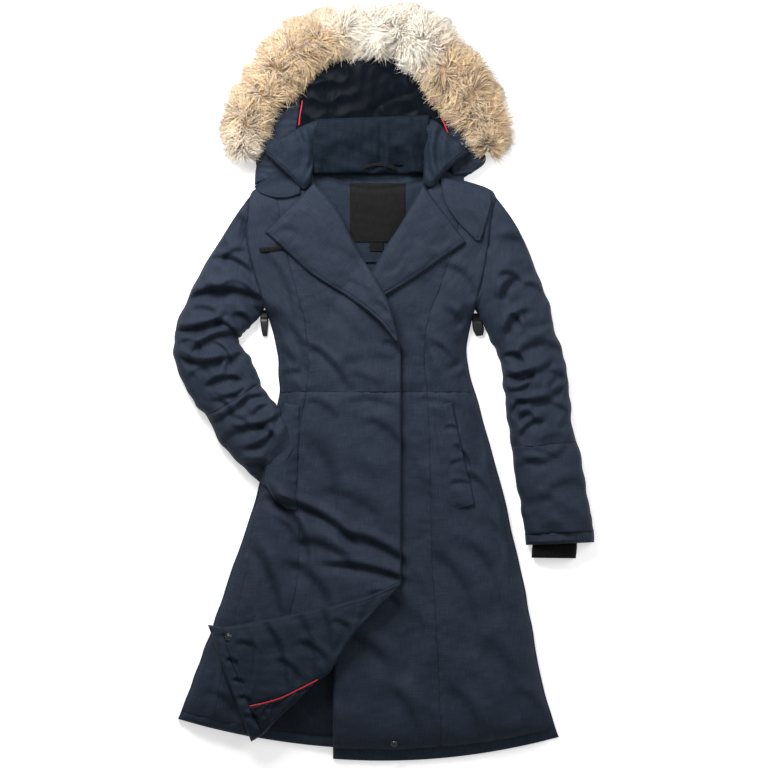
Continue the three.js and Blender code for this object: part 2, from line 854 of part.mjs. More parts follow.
// Small things sewn on: loop, label, tag, zip, snaps and cord locks.
const hangerLoop = clear(
  slab(
    ruled(HANGER_LOOP_SECTIONS),
    8,
    1,
    () => 30,
    (x, y, u) => 38 + 14 * Math.sin(Math.PI * u),
  ),
  [collarStand, neckLining, ...hoodPieces, back],
  ["up"],
);
const onLining = (x, y) => backTop(x, y) + LINING_LOFT;
const overLabel = [neckLining, leftFront, rightFront, leftLapel, rightLapel];
const patch = (left, right, top, bottom, thick) => {
  const sections = table(SECTION, [
    [left, top, right, top],
    [left, bottom, right, bottom],
  ]);
  const low = (x, y) => onLining(x, y) - 1;
  return clear(slab(ruled(sections), 4, 4, low, (x, y) => onLining(x, y) + thick), overLabel);
};
const labelFoot = LABEL.top - LABEL.height;
const label = patch(LABEL.left, LABEL.right, LABEL.top, labelFoot, LABEL.thick);
const sizeTag = patch(-24, 1, labelFoot - 0.6, 232, TAG_THICK);
const chestZip = clear(
  slab(ruled(CHEST_ZIP_SECTIONS), 4, 2, sunk(frontTop), (x, y) => frontTop(x, y) + 2),
  [...body, rightLapel],
  ["up"],
);
const zipPull = clear(
  slab(
    ruled(
      table(SECTION, [
        [-222, 238, -220, 230],
        [-205, 240, -203, 231],
      ]),
    ),
    2,
    2,
    sunk(frontTop),
    (x, y) => frontTop(x, y) + 5,
  ),
  [...body, chestZip, rightArm],
);

// A snap's cap: a low round button turned in profile, seated on the cloth.
function snap(x, y, height, under) {
  const profile = [
    [0, 0],
    [6.5, 0],
    [6.5, 4.2],
    [4, 5.4],
    [0, 5.4],
  ].map(([radius, z]) => new THREE.Vector2(radius, z));
  const cap = new THREE.LatheGeometry(profile, 16).rotateX(Math.PI / 2);
  return clear(solid(cap.translate(x, y, height)), under);
}
const flapSnap = snap(-276, -458, wrapTop(-276, -458) + FLAP_LOFT * 0.8, [flap]);
const hemSnap = snap(20, -650, frontTop(20, -650) - 2, [leftFront]);
const hoodSnapUpper = snap(148, 452, 21, [...hoodPieces, furOnHood]);
const hoodSnapLower = snap(144, 423, 22, [...hoodPieces, furOnHood, leftLeaf]);
// The cord lock that hangs at each underarm: a short loop of cord and its barrel, lying on the ground.
const cordLock = (points, neighbours) =>
  clear(
    slab(ruled(points), 4, 1, () => 0, (x, y, u) => 7 + 3 * Math.sin(Math.PI * u)),
    neighbours,
    ["up", "right", "left"],
  );
const rightCordLock = cordLock(
  table(SECTION, [
    [-219, 128, -207, 128],
    [-221, 112, -206, 112],
    [-219, 92, -207, 92],
    [-216, 80, -208, 80],
  ]),
  [...body, rightArm],
);
const leftCordLock = cordLock(
  table(SECTION, [
    [160, 122, 173, 122],
    [160, 108, 178, 108],
    [162, 92, 182, 94],
    [168, 80, 180, 82],
  ]),
  [...body, leftArm],
);
const hoodPipingRight = clear(
  piping(
    table("x y", [
      [-143, 512],
      [-146, 494],
      [-149, 476],
      [-151, 458],
    ]),
    1.6,
    () => 22.6,
  ),
  [...hoodPieces, furOnHood, collarStand, rightLeaf],
);
const hoodPipingLeft = clear(
  piping(
    table("x y", [
      [106, 470],
      [110, 462],
      [113, 454],
      [117, 444],
    ]),
    1.6,
    () => 27,
  ),
  [...hoodPieces, furOnHood, leftLeaf],
);

const NAVY = { color: "#323d4b", roughness: 0.82, metalness: 0 };
const SATIN = { color: "#272f3c", roughness: 0.5, metalness: 0 };
const FUR = { color: "#c9ad85", roughness: 0.95, metalness: 0 };
const RED = { color: "#c2303f", roughness: 0.6, metalness: 0 };
const BLACK = { color: "#16171a", roughness: 0.75, metalness: 0 };
const GUNMETAL = { color: "#4b4d50", roughness: 0.35, metalness: 1 };

const coat = new THREE.Group();
function add(name, piece, finish) {
  const geometry = geometryOf(largest(solid(geometryOf(piece))));
  geometry.computeVertexNormals();
  const made = new THREE.Mesh(geometry, new THREE.MeshStandardMaterial(finish));
  made.name = name;
  coat.add(made);
}
const PIECES = [
  ["back_bodice", backBodice, NAVY],
  ["back_skirt", backSkirt, NAVY],
  ["back_hem", backHemBand, NAVY],
  ["neck_lining", neckLining, NAVY],
  ["skirt_lining", openingLining, SATIN],
  ["left_front_bodice", leftFrontBodice, NAVY],
  ["left_side_bodice", leftSideBodice, NAVY],
  ["left_front_skirt", leftFrontSkirt, NAVY],
  ["left_side_skirt", leftSideSkirt, NAVY],
  ["left_hem", leftHem, NAVY],
  ["right_front_bodice", rightFrontBodice, NAVY],
  ["right_side_bodice", rightSideBodice, NAVY],
  ["right_front_skirt", rightFrontSkirt, NAVY],
  ["right_side_skirt", rightSideSkirt, NAVY],
  ["right_back_skirt", rightBackSkirt, NAVY],
  ["right_hem", rightHem, NAVY],
  ["flap_facing", flapFacing, NAVY],
  ["flap_lining", flapLining, SATIN],
  ["flap_hem", flapHem, NAVY],
  ["flap_piping", flapPiping, RED],
  ["left_lapel", leftLapel, NAVY],
  ["right_lapel", rightLapel, NAVY],
  ["right_under_sleeve", rightUnderSleeve, NAVY],
  ["right_upper_sleeve", rightUpperSleeve, NAVY],
  ["right_forearm", rightForearm, NAVY],
  ["left_under_sleeve", leftUnderSleeve, NAVY],
  ["left_upper_sleeve", leftUpperSleeve, NAVY],
  ["left_forearm", leftForearm, NAVY],
  ["left_cuff", leftCuff, NAVY],
  ["left_rib_cuff", ribUnderCuff, BLACK],
  ["right_pocket", rightPocket, NAVY],
  ["left_pocket_welt", leftPocket, NAVY],
  ["hood_shell", hoodShell, NAVY],
  ["hood_lining", hoodLining, SATIN],
  ["hood_band_right", hoodBandRight, NAVY],
  ["hood_band_left", hoodBandLeft, NAVY],
  ["hood_piping_right", hoodPipingRight, RED],
  ["hood_piping_left", hoodPipingLeft, RED],
  ["fur_ruff_right", furRight, FUR],
  ["fur_ruff_top", furTopPiece, FUR],
  ["fur_ruff_left", furLeft, FUR],
  ["collar_stand", collarStand, NAVY],
  ["collar_leaf_right", rightLeaf, NAVY],
  ["collar_leaf_left", leftLeaf, NAVY],
  ["collar_tab", collarTab, NAVY],
  ["storm_flap", stormFlap, NAVY],
  ["hanger_loop", hangerLoop, BLACK],
  ["neck_label", label, BLACK],
  ["size_tag", sizeTag, BLACK],
  ["chest_zip", chestZip, BLACK],
  ["chest_zip_pull", zipPull, BLACK],
  ["right_cord_lock", rightCordLock, BLACK],
  ["left_cord_lock", leftCordLock, BLACK],
  ["flap_snap", flapSnap, GUNMETAL],
  ["hem_snap", hemSnap, GUNMETAL],
  ["hood_snap_upper", hoodSnapUpper, GUNMETAL],
  ["hood_snap_lower", hoodSnapLower, GUNMETAL],
];

// Where rounding the facets has let two pieces touch, the later one gives way to the earlier.
for (const later of PIECES)
  for (const earlier of PIECES.slice(0, PIECES.indexOf(later))) {
    if (!near(later[1], earlier[1])) continue;
    if (later[1].intersect(earlier[1]).volume() < TOUCH) continue;
    const lifted = earlier[1].translate(0, 0, GAP);
    later[1] = largest(later[1].subtract(earlier[1]).subtract(lifted));
  }
for (const [name, piece, finish] of PIECES) add(name, piece, finish);

// The origin is the middle of the coat's footprint, on the ground.
const middle = new THREE.Box3().setFromObject(coat).getCenter(new THREE.Vector3());
coat.position.set(-middle.x, -middle.y, 0);

export default coat;
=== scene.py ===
# %% [markdown]
# # A padded, hooded wrap coat laid flat
# The coat lies on its back with the right front lapped over the left, the right hand in its pocket
# and one hem corner turned back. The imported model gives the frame: each piece of cloth has a plain
# solid there, and this file puts a finely shaped piece in its place. Lengths here are in
# millimetres, in the pattern's own layout, and turn into metres only when a mesh is made.

import bpy
import numpy as np
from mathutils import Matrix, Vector


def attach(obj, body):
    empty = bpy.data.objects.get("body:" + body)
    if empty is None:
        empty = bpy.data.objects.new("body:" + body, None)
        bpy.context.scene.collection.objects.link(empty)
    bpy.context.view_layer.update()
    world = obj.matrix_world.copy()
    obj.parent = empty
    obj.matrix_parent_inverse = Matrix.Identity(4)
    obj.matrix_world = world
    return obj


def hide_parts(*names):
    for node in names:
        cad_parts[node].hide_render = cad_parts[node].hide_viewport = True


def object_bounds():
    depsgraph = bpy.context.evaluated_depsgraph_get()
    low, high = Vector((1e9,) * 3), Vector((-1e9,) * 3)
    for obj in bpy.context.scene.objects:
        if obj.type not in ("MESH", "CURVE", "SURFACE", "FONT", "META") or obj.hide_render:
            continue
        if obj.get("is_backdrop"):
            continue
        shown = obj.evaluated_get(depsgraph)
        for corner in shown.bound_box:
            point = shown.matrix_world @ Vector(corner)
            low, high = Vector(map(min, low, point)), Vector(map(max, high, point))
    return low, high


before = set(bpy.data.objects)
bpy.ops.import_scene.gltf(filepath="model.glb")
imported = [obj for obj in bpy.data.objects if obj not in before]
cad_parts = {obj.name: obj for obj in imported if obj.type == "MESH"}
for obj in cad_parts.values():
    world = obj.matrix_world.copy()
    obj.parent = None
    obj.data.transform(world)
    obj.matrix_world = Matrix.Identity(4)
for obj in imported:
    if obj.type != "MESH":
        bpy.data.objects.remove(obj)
CAD_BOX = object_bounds()
print("frame box", CAD_BOX)

# %% [markdown]
# The pattern was laid out with its zero near the centre back at the waist. The frame's origin is
# the middle of the coat's footprint, so every piece moves by the same small step.

# %% Units and small helpers
MM = 0.001
LAYOUT_SHIFT = (-0.5, 0.6)
TAU = 2 * np.pi


def ease(t):
    """Smooth step: 3t^2 - 2t^3, with t held between 0 and 1."""
    t = np.clip(t, 0, 1)
    return t * t * (3 - 2 * t)


def dome(distance, reach):
    """Quarter round: sqrt(1 - (1 - d/r)^2), 0 at an edge and 1 past the reach."""
    t = np.clip(distance / reach, 0, 1)
    return np.sqrt(1 - (1 - t) ** 2)


def smooth_read(table, column, level):
    """A column of a table read at any level: cubic Hermite curve with the mean slope at each row."""
    rows = np.array(table, float)[::-1]
    x, y = rows[:, 0], rows[:, column]
    slope = np.gradient(y, x)
    level = np.clip(level, x[0], x[-1])
    i = np.clip(np.searchsorted(x, level, side="right") - 1, 0, len(x) - 2)
    h = x[i + 1] - x[i]
    t = (level - x[i]) / h
    return (
        y[i] * (1 + 2 * t) * (1 - t) ** 2
        + y[i + 1] * t * t * (3 - 2 * t)
        + h * slope[i] * t * (1 - t) ** 2
        - h * slope[i + 1] * t * t * (1 - t)
    )


def rolling(x, y, size, seed):
    """Soft uneven hills from -1 to 1: the mean of seven sine waves of about one length, each in
    its own direction and phase."""
    random = np.random.default_rng(seed)
    total = 0
    for _ in range(7):
        angle, phase, stretch = random.uniform(0, TAU), random.uniform(0, TAU), random.uniform(0.7, 1.4)
        total = total + np.sin((x * np.cos(angle) + y * np.sin(angle)) * TAU / (size * stretch) + phase)
    return total / 4.2


# %% [markdown]
# ## The body's outline
# Short tables give the coat's two sides, its front edges and its seams at a few levels, from
# shoulder to hem. Straight table rows would leave corners in the cloth, so each is read with a
# smooth curve.

# %% Outline tables
WAIST, UNDERARM, HEM = -20, 139, -616
HEM_BAND, FRONT_HEM_DROP, HEM_DIP, HEM_HALF_WIDTH = 18, 18, 46, 340
BACK_LOFT, FRONT_LOFT, WRAP_RISE, LAPEL_LOFT, FLAP_LOFT = 21, 21, 15, 12, 15
EDGE_ROUND = 60

# level, right side, left side
SIDES = [
    (376, -128, 88), (362, -180, 140), (346, -228, 190), (330, -240, 203), (304, -244, 198),
    (254, -246, 191), (211, -238, 186), (171, -226, 177), (139, -215, 168), (101, -202, 158),
    (59, -192, 151), (20, -188, 154), (-20, -187, 166), (-85, -200, 184), (-184, -222, 212),
    (-265, -247, 231), (-338, -273, 249), (-436, -306, 268), (-544, -344, 289), (-616, -369, 311),
    (-650, -380, 321),
]
# level, right front's edge, left front's edge
FRONT_EDGES = [
    (376, -128, 88), (344, -117, 81), (304, -81, 50), (254, -54, 15), (211, -31, -11),
    (171, -5, -38), (139, 9, -56), (101, 22, -70), (59, 31, -83), (20, 33, -88), (-20, 33, -90),
    (-200, 33, -90), (-400, 33, -90), (-650, 33, -90),
]
# level, seam
RIGHT_PRINCESS = [
    (380, -196), (304, -187), (254, -178), (171, -157), (101, -140), (20, -134), (-20, -138),
    (-85, -148), (-184, -153), (-338, -152), (-436, -170), (-544, -204), (-690, -240),
]
LEFT_PRINCESS = [
    (380, 145), (304, 139), (254, 131), (171, 103), (101, 79), (20, 75), (-20, 79), (-85, 83),
    (-265, 86), (-436, 95), (-700, 108),
]
RIGHT_SIDE_RIDGE = [
    (-160, -219), (-187, -222), (-230, -230), (-310, -241), (-436, -268), (-544, -292), (-690, -312),
]
# level, fold line of the turned-back corner
FOLD = [
    (-300, 34), (-362, 34), (-394, 2), (-441, -41), (-510, -94), (-563, -144), (-601, -185),
    (-648, -237), (-700, -290),
]


def swing(level, x):
    """How far a level line swings down: dip * t^2 * (1 - (x / half width)^2), t = 0 to 1 at the hem."""
    t = np.clip((WAIST - 80 - level) / (WAIST - 80 - HEM), 0, 2)
    return HEM_DIP * t * t * (1 - (x / HEM_HALF_WIDTH) ** 2)


def back_hem(x):
    """The back's hem line."""
    return HEM - swing(HEM, x)


def uneven(level, seed):
    """Small bumps of a filled edge, up to about 1 mm, below the underarm."""
    return 1.0 * rolling(level, 0 * level, 64, seed) * ease((110 - level) / 60)


def right_side(level):
    """The coat's outer line on the wearer's right, with the small bumps."""
    return smooth_read(SIDES, 1, level) + uneven(level, 15)


def left_side(level):
    """The coat's outer line on the wearer's left, with the small bumps."""
    return smooth_read(SIDES, 2, level) + uneven(level, 16)


def right_edge(level):
    """The free edge of the right front, before its corner turns back."""
    return smooth_read(FRONT_EDGES, 1, level)


def left_edge(level):
    """The hidden edge of the left front."""
    return smooth_read(FRONT_EDGES, 2, level)


def fold_edge(level):
    """The right front's edge at a level: straight, then along the fold line."""
    x = right_edge(level)
    for _ in range(4):
        x = np.minimum(right_edge(level), smooth_read(FOLD, 1, level - swing(level, x)))
    return x


# %% [markdown]
# ## Loft
# A padded layer is full in the middle and thins at the sides, the shoulders and the hem. The
# share of full loft is worked out at any place on the body, so layers that lie on each other
# follow the same form.

# %% Loft of the layers
def shoulder(x):
    """The shoulder line, sloping away from the neck."""
    return 376 - np.maximum(0, np.abs(x + 20) - 108) * 0.3


def fullness(x, y):
    """Share of the full loft: the product of quarter rounds from the sides, shoulder and hem."""
    level = y + swing(y, x)
    sideways = np.minimum(x - right_side(level), left_side(level) - x)
    held_by_sleeve = 70 * ease((y - UNDERARM + 30) / 60)
    across = np.maximum(0.3, dome(sideways + held_by_sleeve, EDGE_ROUND))
    below = 0.5 + 0.5 * dome(shoulder(x) - y, 70)
    above = 0.4 + 0.6 * dome(y - back_hem(x), 90)
    return np.maximum(0.28, across * below * above)


def settle(x, y):
    """The left front's hem settles from the back's top to the ground."""
    return np.minimum(0, (y - back_hem(x)) * 0.4)


def back_top(x, y):
    """Height of the back's upper face: loft times fullness."""
    return BACK_LOFT * fullness(x, y)


def front_top(x, y):
    """Height of a front that lies on the back: both lofts times fullness, settled at the hem."""
    return (BACK_LOFT + FRONT_LOFT) * fullness(x, y) + settle(x, y)


def wrap_top(x, y):
    """The right front rises where it laps over the left front's hidden edge."""
    over = ease((x - left_edge(np.minimum(376, y)) + 35) / 50)
    return front_top(x, y) + WRAP_RISE * over * fullness(x, y)


# %% [markdown]
# ## Creases
# Each crease is a row: its two ends, how far it bows, its width and its depth. A
# crease is a soft trough with a lower ridge along one side, and it fades out at both ends. A
# negative depth makes a ridge. The rows are as uneven as the folds of worn, filled cloth.

# %% Crease tables: x0, y0, x1, y1, bow, width, depth
RIGHT_ARM_CREASES = [
    (-352, 146, -222, 146, 14, 11, 9), (-304, 220, -240, 196, 8, 8, 5), (-286, 216, -250, 232, 5, 8, 3.5),
    (-376, 92, -292, 108, -8, 9, 8), (-302, 104, -266, 84, 5, 7, 5), (-338, 52, -262, 82, 8, 10, 6),
    (-356, 38, -286, 36, -7, 9, 8.5), (-280, 16, -254, 48, 5, 8, 5), (-312, -8, -260, 2, 6, 8, 5.5),
    (-316, -76, -238, -22, -10, 8, 5), (-254, -42, -208, -28, 5, 7, 5), (-258, -86, -180, -60, -8, 8, 6),
    (-236, -122, -186, -66, -12, 9, 6), (-256, -152, -204, -156, 6, 8, 5.5),
    (-334, 252, -284, 238, 7, 12, 3.5),
    (-268, 300, -244, 250, 8, 11, 3.5), (-300, -34, -274, -62, 6, 8, 4), (-286, -112, -244, -92, 6, 9, 3.5),
    (-326, 182, -280, 158, -9, 10, 4), (-284, 172, -240, 164, 6, 8, 4), (-340, 128, -300, 118, 5, 9, 3.5),
    (-300, 66, -276, 30, 6, 8, 4.5), (-262, 120, -238, 98, 4, 7, 4.5), (-344, 6, -312, 20, 5, 9, 3.5),
    (-290, -30, -250, -18, -5, 7, 4), (-224, -84, -196, -104, 5, 8, 4), (-246, 282, -226, 200, 6, 10, 3),
    (-230, -60, -204, -44, 4, 6, 3.5), (-270, -66, -240, -84, 4, 7, 3), (-360, 70, -330, 62, 4, 8, 3.5),
]
LEFT_ARM_CREASES = [
    (214, 148, 234, 180, 5, 8, 7), (222, 84, 256, 124, 7, 9, 6), (218, 10, 264, 12, -5, 8, 8),
    (238, -36, 320, -16, -12, 9, 5.5), (246, -68, 268, -64, 4, 11, 6), (248, -98, 282, -72, 5, 8, 5),
    (264, -148, 326, -126, -8, 10, 4.5), (268, 200, 300, 160, 7, 12, 3.5), (300, 60, 332, 38, 6, 11, 3.5),
    (242, 44, 304, 64, 8, 11, 4), (300, -200, 352, -184, 7, 13, 2.5), (256, -230, 300, -212, 6, 12, 2.5),
    (208, 254, 262, 232, 8, 12, 3.5), (298, 14, 340, -8, 5, 9, 4), (254, 172, 290, 148, 6, 9, 4.5),
    (220, 46, 250, 34, 5, 7, 5), (222, -20, 262, -8, -5, 8, 5), (300, 106, 262, 96, 5, 8, 3.5),
    (228, 118, 246, 96, 3, 7, 4), (276, -40, 330, -60, 7, 9, 3.5), (232, -60, 250, -36, 4, 7, 4),
    (300, -20, 322, 10, 5, 9, 3), (212, 190, 246, 178, 4, 8, 4), (318, -86, 344, -70, 4, 9, 3),
    (250, 14, 300, 30, -7, 9, 4), (246, -160, 280, -140, 5, 10, 3), (250, -126, 300, -133, 3, 6, 2.5),
]
FRONT_CREASES = [
    (-134, 62, -68, -6, 7, 8, 4), (7, 70, 30, 46, 3, 8, 4.5), (-26, -74, 30, -122, 8, 13, 3),
    (-204, -214, -60, -282, 12, 10, 8), (-66, -278, 32, -322, 6, 11, 7.5),
    (-205, -196, -138, -320, 14, 11, 7),
    (-98, -331, 30, -355, 6, 9, 6), (-74, 28, 24, 36, 5, 13, 1.6), (-104, 134, -36, 56, 8, 15, 1.8),
    (-168, 96, -140, 16, 6, 11, 4), (116, 126, 152, 56, 8, 10, 5), (92, 66, 146, -4, 7, 9, 4.5),
    (58, 96, 80, 18, 5, 11, 3), (136, -124, 154, -154, 3, 7, 4), (-70, -464, -2, -504, 8, 18, 5),
    (100, -320, 160, -468, 18, 22, 5), (58, -160, 72, -300, 10, 22, 4), (156, -300, 204, -422, 12, 22, 5),
    (20, -560, 62, -642, 6, 18, 4), (198, -478, 238, -602, 10, 22, 4.5), (-122, -118, -88, -242, 10, 20, 3.5),
    (-40, -150, -18, -262, 8, 22, 3), (-234, -298, -188, -424, 8, 13, 6), (-304, -478, -322, -604, 6, 11, 5),
    (-238, -428, -262, -594, 8, 12, 5), (-64, -38, 22, -48, 6, 10, 1.8), (56, -38, 134, -48, 6, 9, 2),
    (-132, -38, -88, -64, 5, 10, 2.4), (116, 204, 162, 148, 10, 12, 4), (-204, 214, -168, 128, 8, 12, 4),
    (150, 300, 178, 230, 8, 14, 3.5), (148, 46, 118, 20, 5, 8, 4.5), (160, -60, 176, -150, 6, 12, 4),
    (-150, -290, -60, -330, 10, 14, 4.5), (-110, -204, -20, -240, 10, 18, 3), (-60, 10, -10, -10, 4, 9, 1.2),
    (150, 130, 130, 96, 5, 9, 4), (-196, 60, -160, 30, 5, 9, 3.5), (-190, 4, -150, 14, 4, 8, 3.5),
    (60, -420, 40, -530, 8, 20, 4), (-286, -380, -262, -300, 6, 12, 4), (130, -560, 170, -640, 6, 18, 4),
    (-170, -330, -100, -400, 10, 14, 4), (-20, -380, 26, -400, 4, 8, 3), (190, -250, 214, -330, 6, 12, 4),
    (-184, -250, -156, -300, 5, 9, 4), (150, -170, 200, -230, 8, 12, 4), (-310, -560, -260, -600, 5, 10, 3),
    (250, -560, 286, -610, 5, 12, 3.5), (76, -590, 90, -650, 5, 14, 3), (170, 90, 140, 62, 5, 8, 4),
]


def crumple(x, y, size, seed):
    """Sharp-backed wrinkles: 1 - 2 sqrt(r^2 + 0.01), where r is the rolling surface, so thin ridges
    run wherever it passes through zero."""
    return 1 - 2 * np.sqrt(rolling(x, y, size, seed) ** 2 + 0.01)


def creases(x, y, table):
    """The sum of the rows: each -depth * (trough - ridge) * fade, where n is the distance off the
    bowed line, trough = exp(-(n/w)^2) with w small on one side and wide on the other, as cloth
    falls over itself, ridge = 0.6 exp(-((n - 1.35w)/0.8w)^2), and fade falls smoothly to 0 past
    the ends."""
    total = np.zeros_like(x)
    for x0, y0, x1, y1, bow, width, depth in table:
        length = np.hypot(x1 - x0, y1 - y0)
        ux, uy = (x1 - x0) / length, (y1 - y0) / length
        along = ((x - x0) * ux + (y - y0) * uy) / length
        off = (y - y0) * ux - (x - x0) * uy - bow * 4 * along * (1 - along)
        fade = ease((along + 0.25) / 0.4) * ease((1.25 - along) / 0.4)
        steep = np.where(off > 0, 0.55 * width, 1.25 * width)
        trough = np.exp(-((off / steep) ** 2))
        ridge = 0.6 * np.exp(-(((off - 1.35 * width) / (0.8 * width)) ** 2))
        total = total - depth * fade * (trough - ridge)
    return total


def body_wrinkles(x, y):
    """Creases and soft filling of the fronts."""
    soft = 2.1 * rolling(x, y, 105, 3) + 1.1 * rolling(x, y, 46, 4) + 0.4 * rolling(x, y, 21, 5)
    near_waist = np.exp(-(((y - WAIST) / 45) ** 2))
    gathered = near_waist * 1.3 * crumple(x, y * 0.45, 34, 6)
    folds = 1.35 * creases(x, y, FRONT_CREASES) + 1.1 * crumple(x, y, 95, 7)
    return (folds + soft + gathered) * fullness(x, y)


def front_face(x, y):
    """The left front's upper face: its height plus the wrinkles."""
    return front_top(x, y) + body_wrinkles(x, y)


def wrap_face(x, y):
    """The right front's upper face: its height plus the wrinkles."""
    return wrap_top(x, y) + body_wrinkles(x, y)


# %% [markdown]
# ## One way to make a padded piece
# A padded piece has an upper and a lower face that meet round its edge. Its plan is a function of
# two parameters: u runs along it and v across. Grid lines crowd towards the edges, where the cloth
# rounds over, and seams draw the cloth in and pucker it. A UV map in metres follows the cloth, so
# the weave turns with a sleeve.

# %% The slab
GRID_STEP = 5.0


def spread(length, step, edge):
    """Places from 0 to 1 with five close lines in each rounded edge and even steps between."""
    edge = min(edge, length / 3)
    inner = max(2, int(np.ceil((length - 2 * edge) / step)))
    corner = edge * (1 - np.cos(np.linspace(0, TAU / 4, 6)))
    middle = np.linspace(edge, length - edge, inner + 1)[1:-1]
    return np.concatenate([corner, middle, length - corner[::-1]]) / length


def chords(x, y, axis):
    """Running length along the grid lines of one axis."""
    steps = np.hypot(np.diff(x, axis=axis), np.diff(y, axis=axis))
    start = np.zeros_like(np.take(x, [0], axis=axis))
    return np.concatenate([start, np.cumsum(steps, axis=axis)], axis=axis)


def seam_pull(distance, along, seed, pull):
    """A seam draws cloth down: pull * exp(-(d/13)^2), uneven along it, with short puckers."""
    uneven = 1 + 0.4 * rolling(along, along * 0.3, 70, seed)
    pucker = rolling(along, distance * 0.5, 17, seed + 1) * np.exp(-distance / 18)
    groove = 0.45 * np.exp(-(distance / 3.5)) + 0.75 * np.exp(-((distance / 17) ** 2))
    return -pull * uneven * groove + pull * 0.4 * pucker


def slab(plan, low, high, rounding=(5, 5, 5, 5), pulls=(0, 0, 0, 0), step=GRID_STEP, seed=1, stitch=None):
    """Points and faces of a padded piece. The sides, in order, are u = 0, u = 1, v = 0, v = 1.
    Each side's rounding is the width over which the two faces close, and its pull is how far a
    seam draws it in. stitch = (inset, depth, sides) presses a line of topstitching along sides."""
    u0, v0 = np.meshgrid(np.linspace(0, 1, 24), np.linspace(0, 1, 24), indexing="ij")
    x, y = plan(u0, v0)
    long = chords(x, y, 0)[-1].max()
    wide = chords(x, y, 1)[:, -1].max()
    u = spread(long, step, max(rounding[0], rounding[1], 3))
    v = spread(wide, step, max(rounding[2], rounding[3], 3))
    u, v = np.meshgrid(u, v, indexing="ij")
    x, y = plan(u, v)
    along, across = chords(x, y, 0), chords(x, y, 1)
    to_side = (along, along[-1] - along, across, across[:, -1:] - across)
    top, bottom = high(x, y, u, v), low(x, y, u, v)
    for i, (distance, pull) in enumerate(zip(to_side, pulls)):
        if pull:
            top = top + seam_pull(distance, across if i < 2 else along, seed + 10 * i, pull)
    if stitch:
        inset, depth, sides = stitch  # a stitch line draws the cloth in beside a plump edge
        for i in sides:
            top = top - depth * np.exp(-(((to_side[i] - inset) / 1.6) ** 2))
    top = np.maximum(top, bottom + 1.2)
    close = np.ones_like(x)
    for distance, width in zip(to_side, rounding):
        close = close * (dome(distance, width) if width else 1)
    middle, half = (top + bottom) / 2, (top - bottom) / 2
    return close_grid(x, y, middle + half * close, middle - half * close, along, across)


def close_grid(x, y, top, bottom, along, across):
    """Two faces of one grid joined round the rim, as arrays of points, quads and UVs."""
    n, m = x.shape
    index = np.arange(n * m).reshape(n, m)
    rim = np.ones((n, m), bool)
    rim[1:-1, 1:-1] = False
    lower = np.where(rim, index, 0)
    lower[1:-1, 1:-1] = n * m + np.arange((n - 2) * (m - 2)).reshape(n - 2, m - 2)
    flat_top = np.where(rim, (top + bottom) / 2, top)
    points = np.concatenate([
        np.stack([x, y, flat_top], -1).reshape(-1, 3),
        np.stack([x, y, bottom], -1)[1:-1, 1:-1].reshape(-1, 3),
    ])
    uv = np.concatenate([
        np.stack([across, along], -1).reshape(-1, 2),
        np.stack([across, along], -1)[1:-1, 1:-1].reshape(-1, 2),
    ])
    upper_quads = np.stack([index[:-1, :-1], index[1:, :-1], index[1:, 1:], index[:-1, 1:]], -1)
    lower_quads = np.stack([lower[:-1, :-1], lower[:-1, 1:], lower[1:, 1:], lower[1:, :-1]], -1)
    quads = np.concatenate([upper_quads.reshape(-1, 4), lower_quads.reshape(-1, 4)])
    turn = (x[1, 0] - x[0, 0]) * (y[0, 1] - y[0, 0]) - (y[1, 0] - y[0, 0]) * (x[0, 1] - x[0, 0])
    if turn < 0:
        quads = quads[:, ::-1]
    return points, quads, uv


def make(name, shape, material):
    """An object from (points, faces, uv), in metres in the frame, smooth, riding on the coat."""
    points, faces, uv = shape
    points = points + np.array([*LAYOUT_SHIFT, 0])
    mesh = bpy.data.meshes.new(name)
    mesh.vertices.add(len(points))
    mesh.vertices.foreach_set("co", (points * MM).ravel())
    corners = faces.shape[1]
    mesh.loops.add(faces.size)
    mesh.loops.foreach_set("vertex_index", faces.ravel().astype(np.int32))
    mesh.polygons.add(len(faces))
    mesh.polygons.foreach_set("loop_start", np.arange(0, faces.size, corners, dtype=np.int32))
    mesh.polygons.foreach_set("use_smooth", np.ones(len(faces), bool))
    mesh.update(calc_edges=True)
    if uv is not None:
        layer = mesh.uv_layers.new(name="cloth")
        layer.data.foreach_set("uv", (uv[faces.ravel()] * MM).ravel())
    mesh.validate()
    mesh.materials.append(material)
    piece = bpy.data.objects.new(name, mesh)
    bpy.context.scene.collection.objects.link(piece)
    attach(piece, "root")
    return piece


def levels_plan(top, bottom, left, right):
    """A plan of level lines, from one edge function to another."""
    def plan(u, v):
        level = top + (bottom - top) * u
        x0, x1 = left(level), right(level)
        x = x0 + (x1 - x0) * v
        return x, level - swing(level, x)
    return plan


def ruled_plan(sections):
    """A plan between two edges that pass smoothly through a table of sections (ax, ay, bx, by)."""
    rows = np.array(sections, float)
    knots = np.linspace(0, 1, len(rows))
    table = np.column_stack([knots, rows])[::-1]

    def plan(u, v):
        ax, ay, bx, by = (smooth_read(table, i, u) for i in (1, 2, 3, 4))
        return ax + (bx - ax) * v, ay + (by - ay) * v
    return plan


PADDED, SHEETS = [], []


def padded(name, node, shape, material):
    """A padded piece that stands for its solid."""
    piece = make(name, shape, material)
    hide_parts(node)
    PADDED.append(name)
    print(name, len(shape[1]), "quads")
    return piece


def sheet(name, node, shape, material):
    """A thin sheet that stands for its solid."""
    piece = make(name, shape, material)
    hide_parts(node)
    SHEETS.append(name)
    return piece


def trim(name, node, shape, material):
    """Hardware, fur or piping that stands for its solid."""
    piece = make(name, shape, material)
    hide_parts(node)
    return piece


# %% [markdown]
# ## Finishes
# Colours are written as sRGB hex and turned to linear by one function. One small function adds a
# shader node with its settings and links.

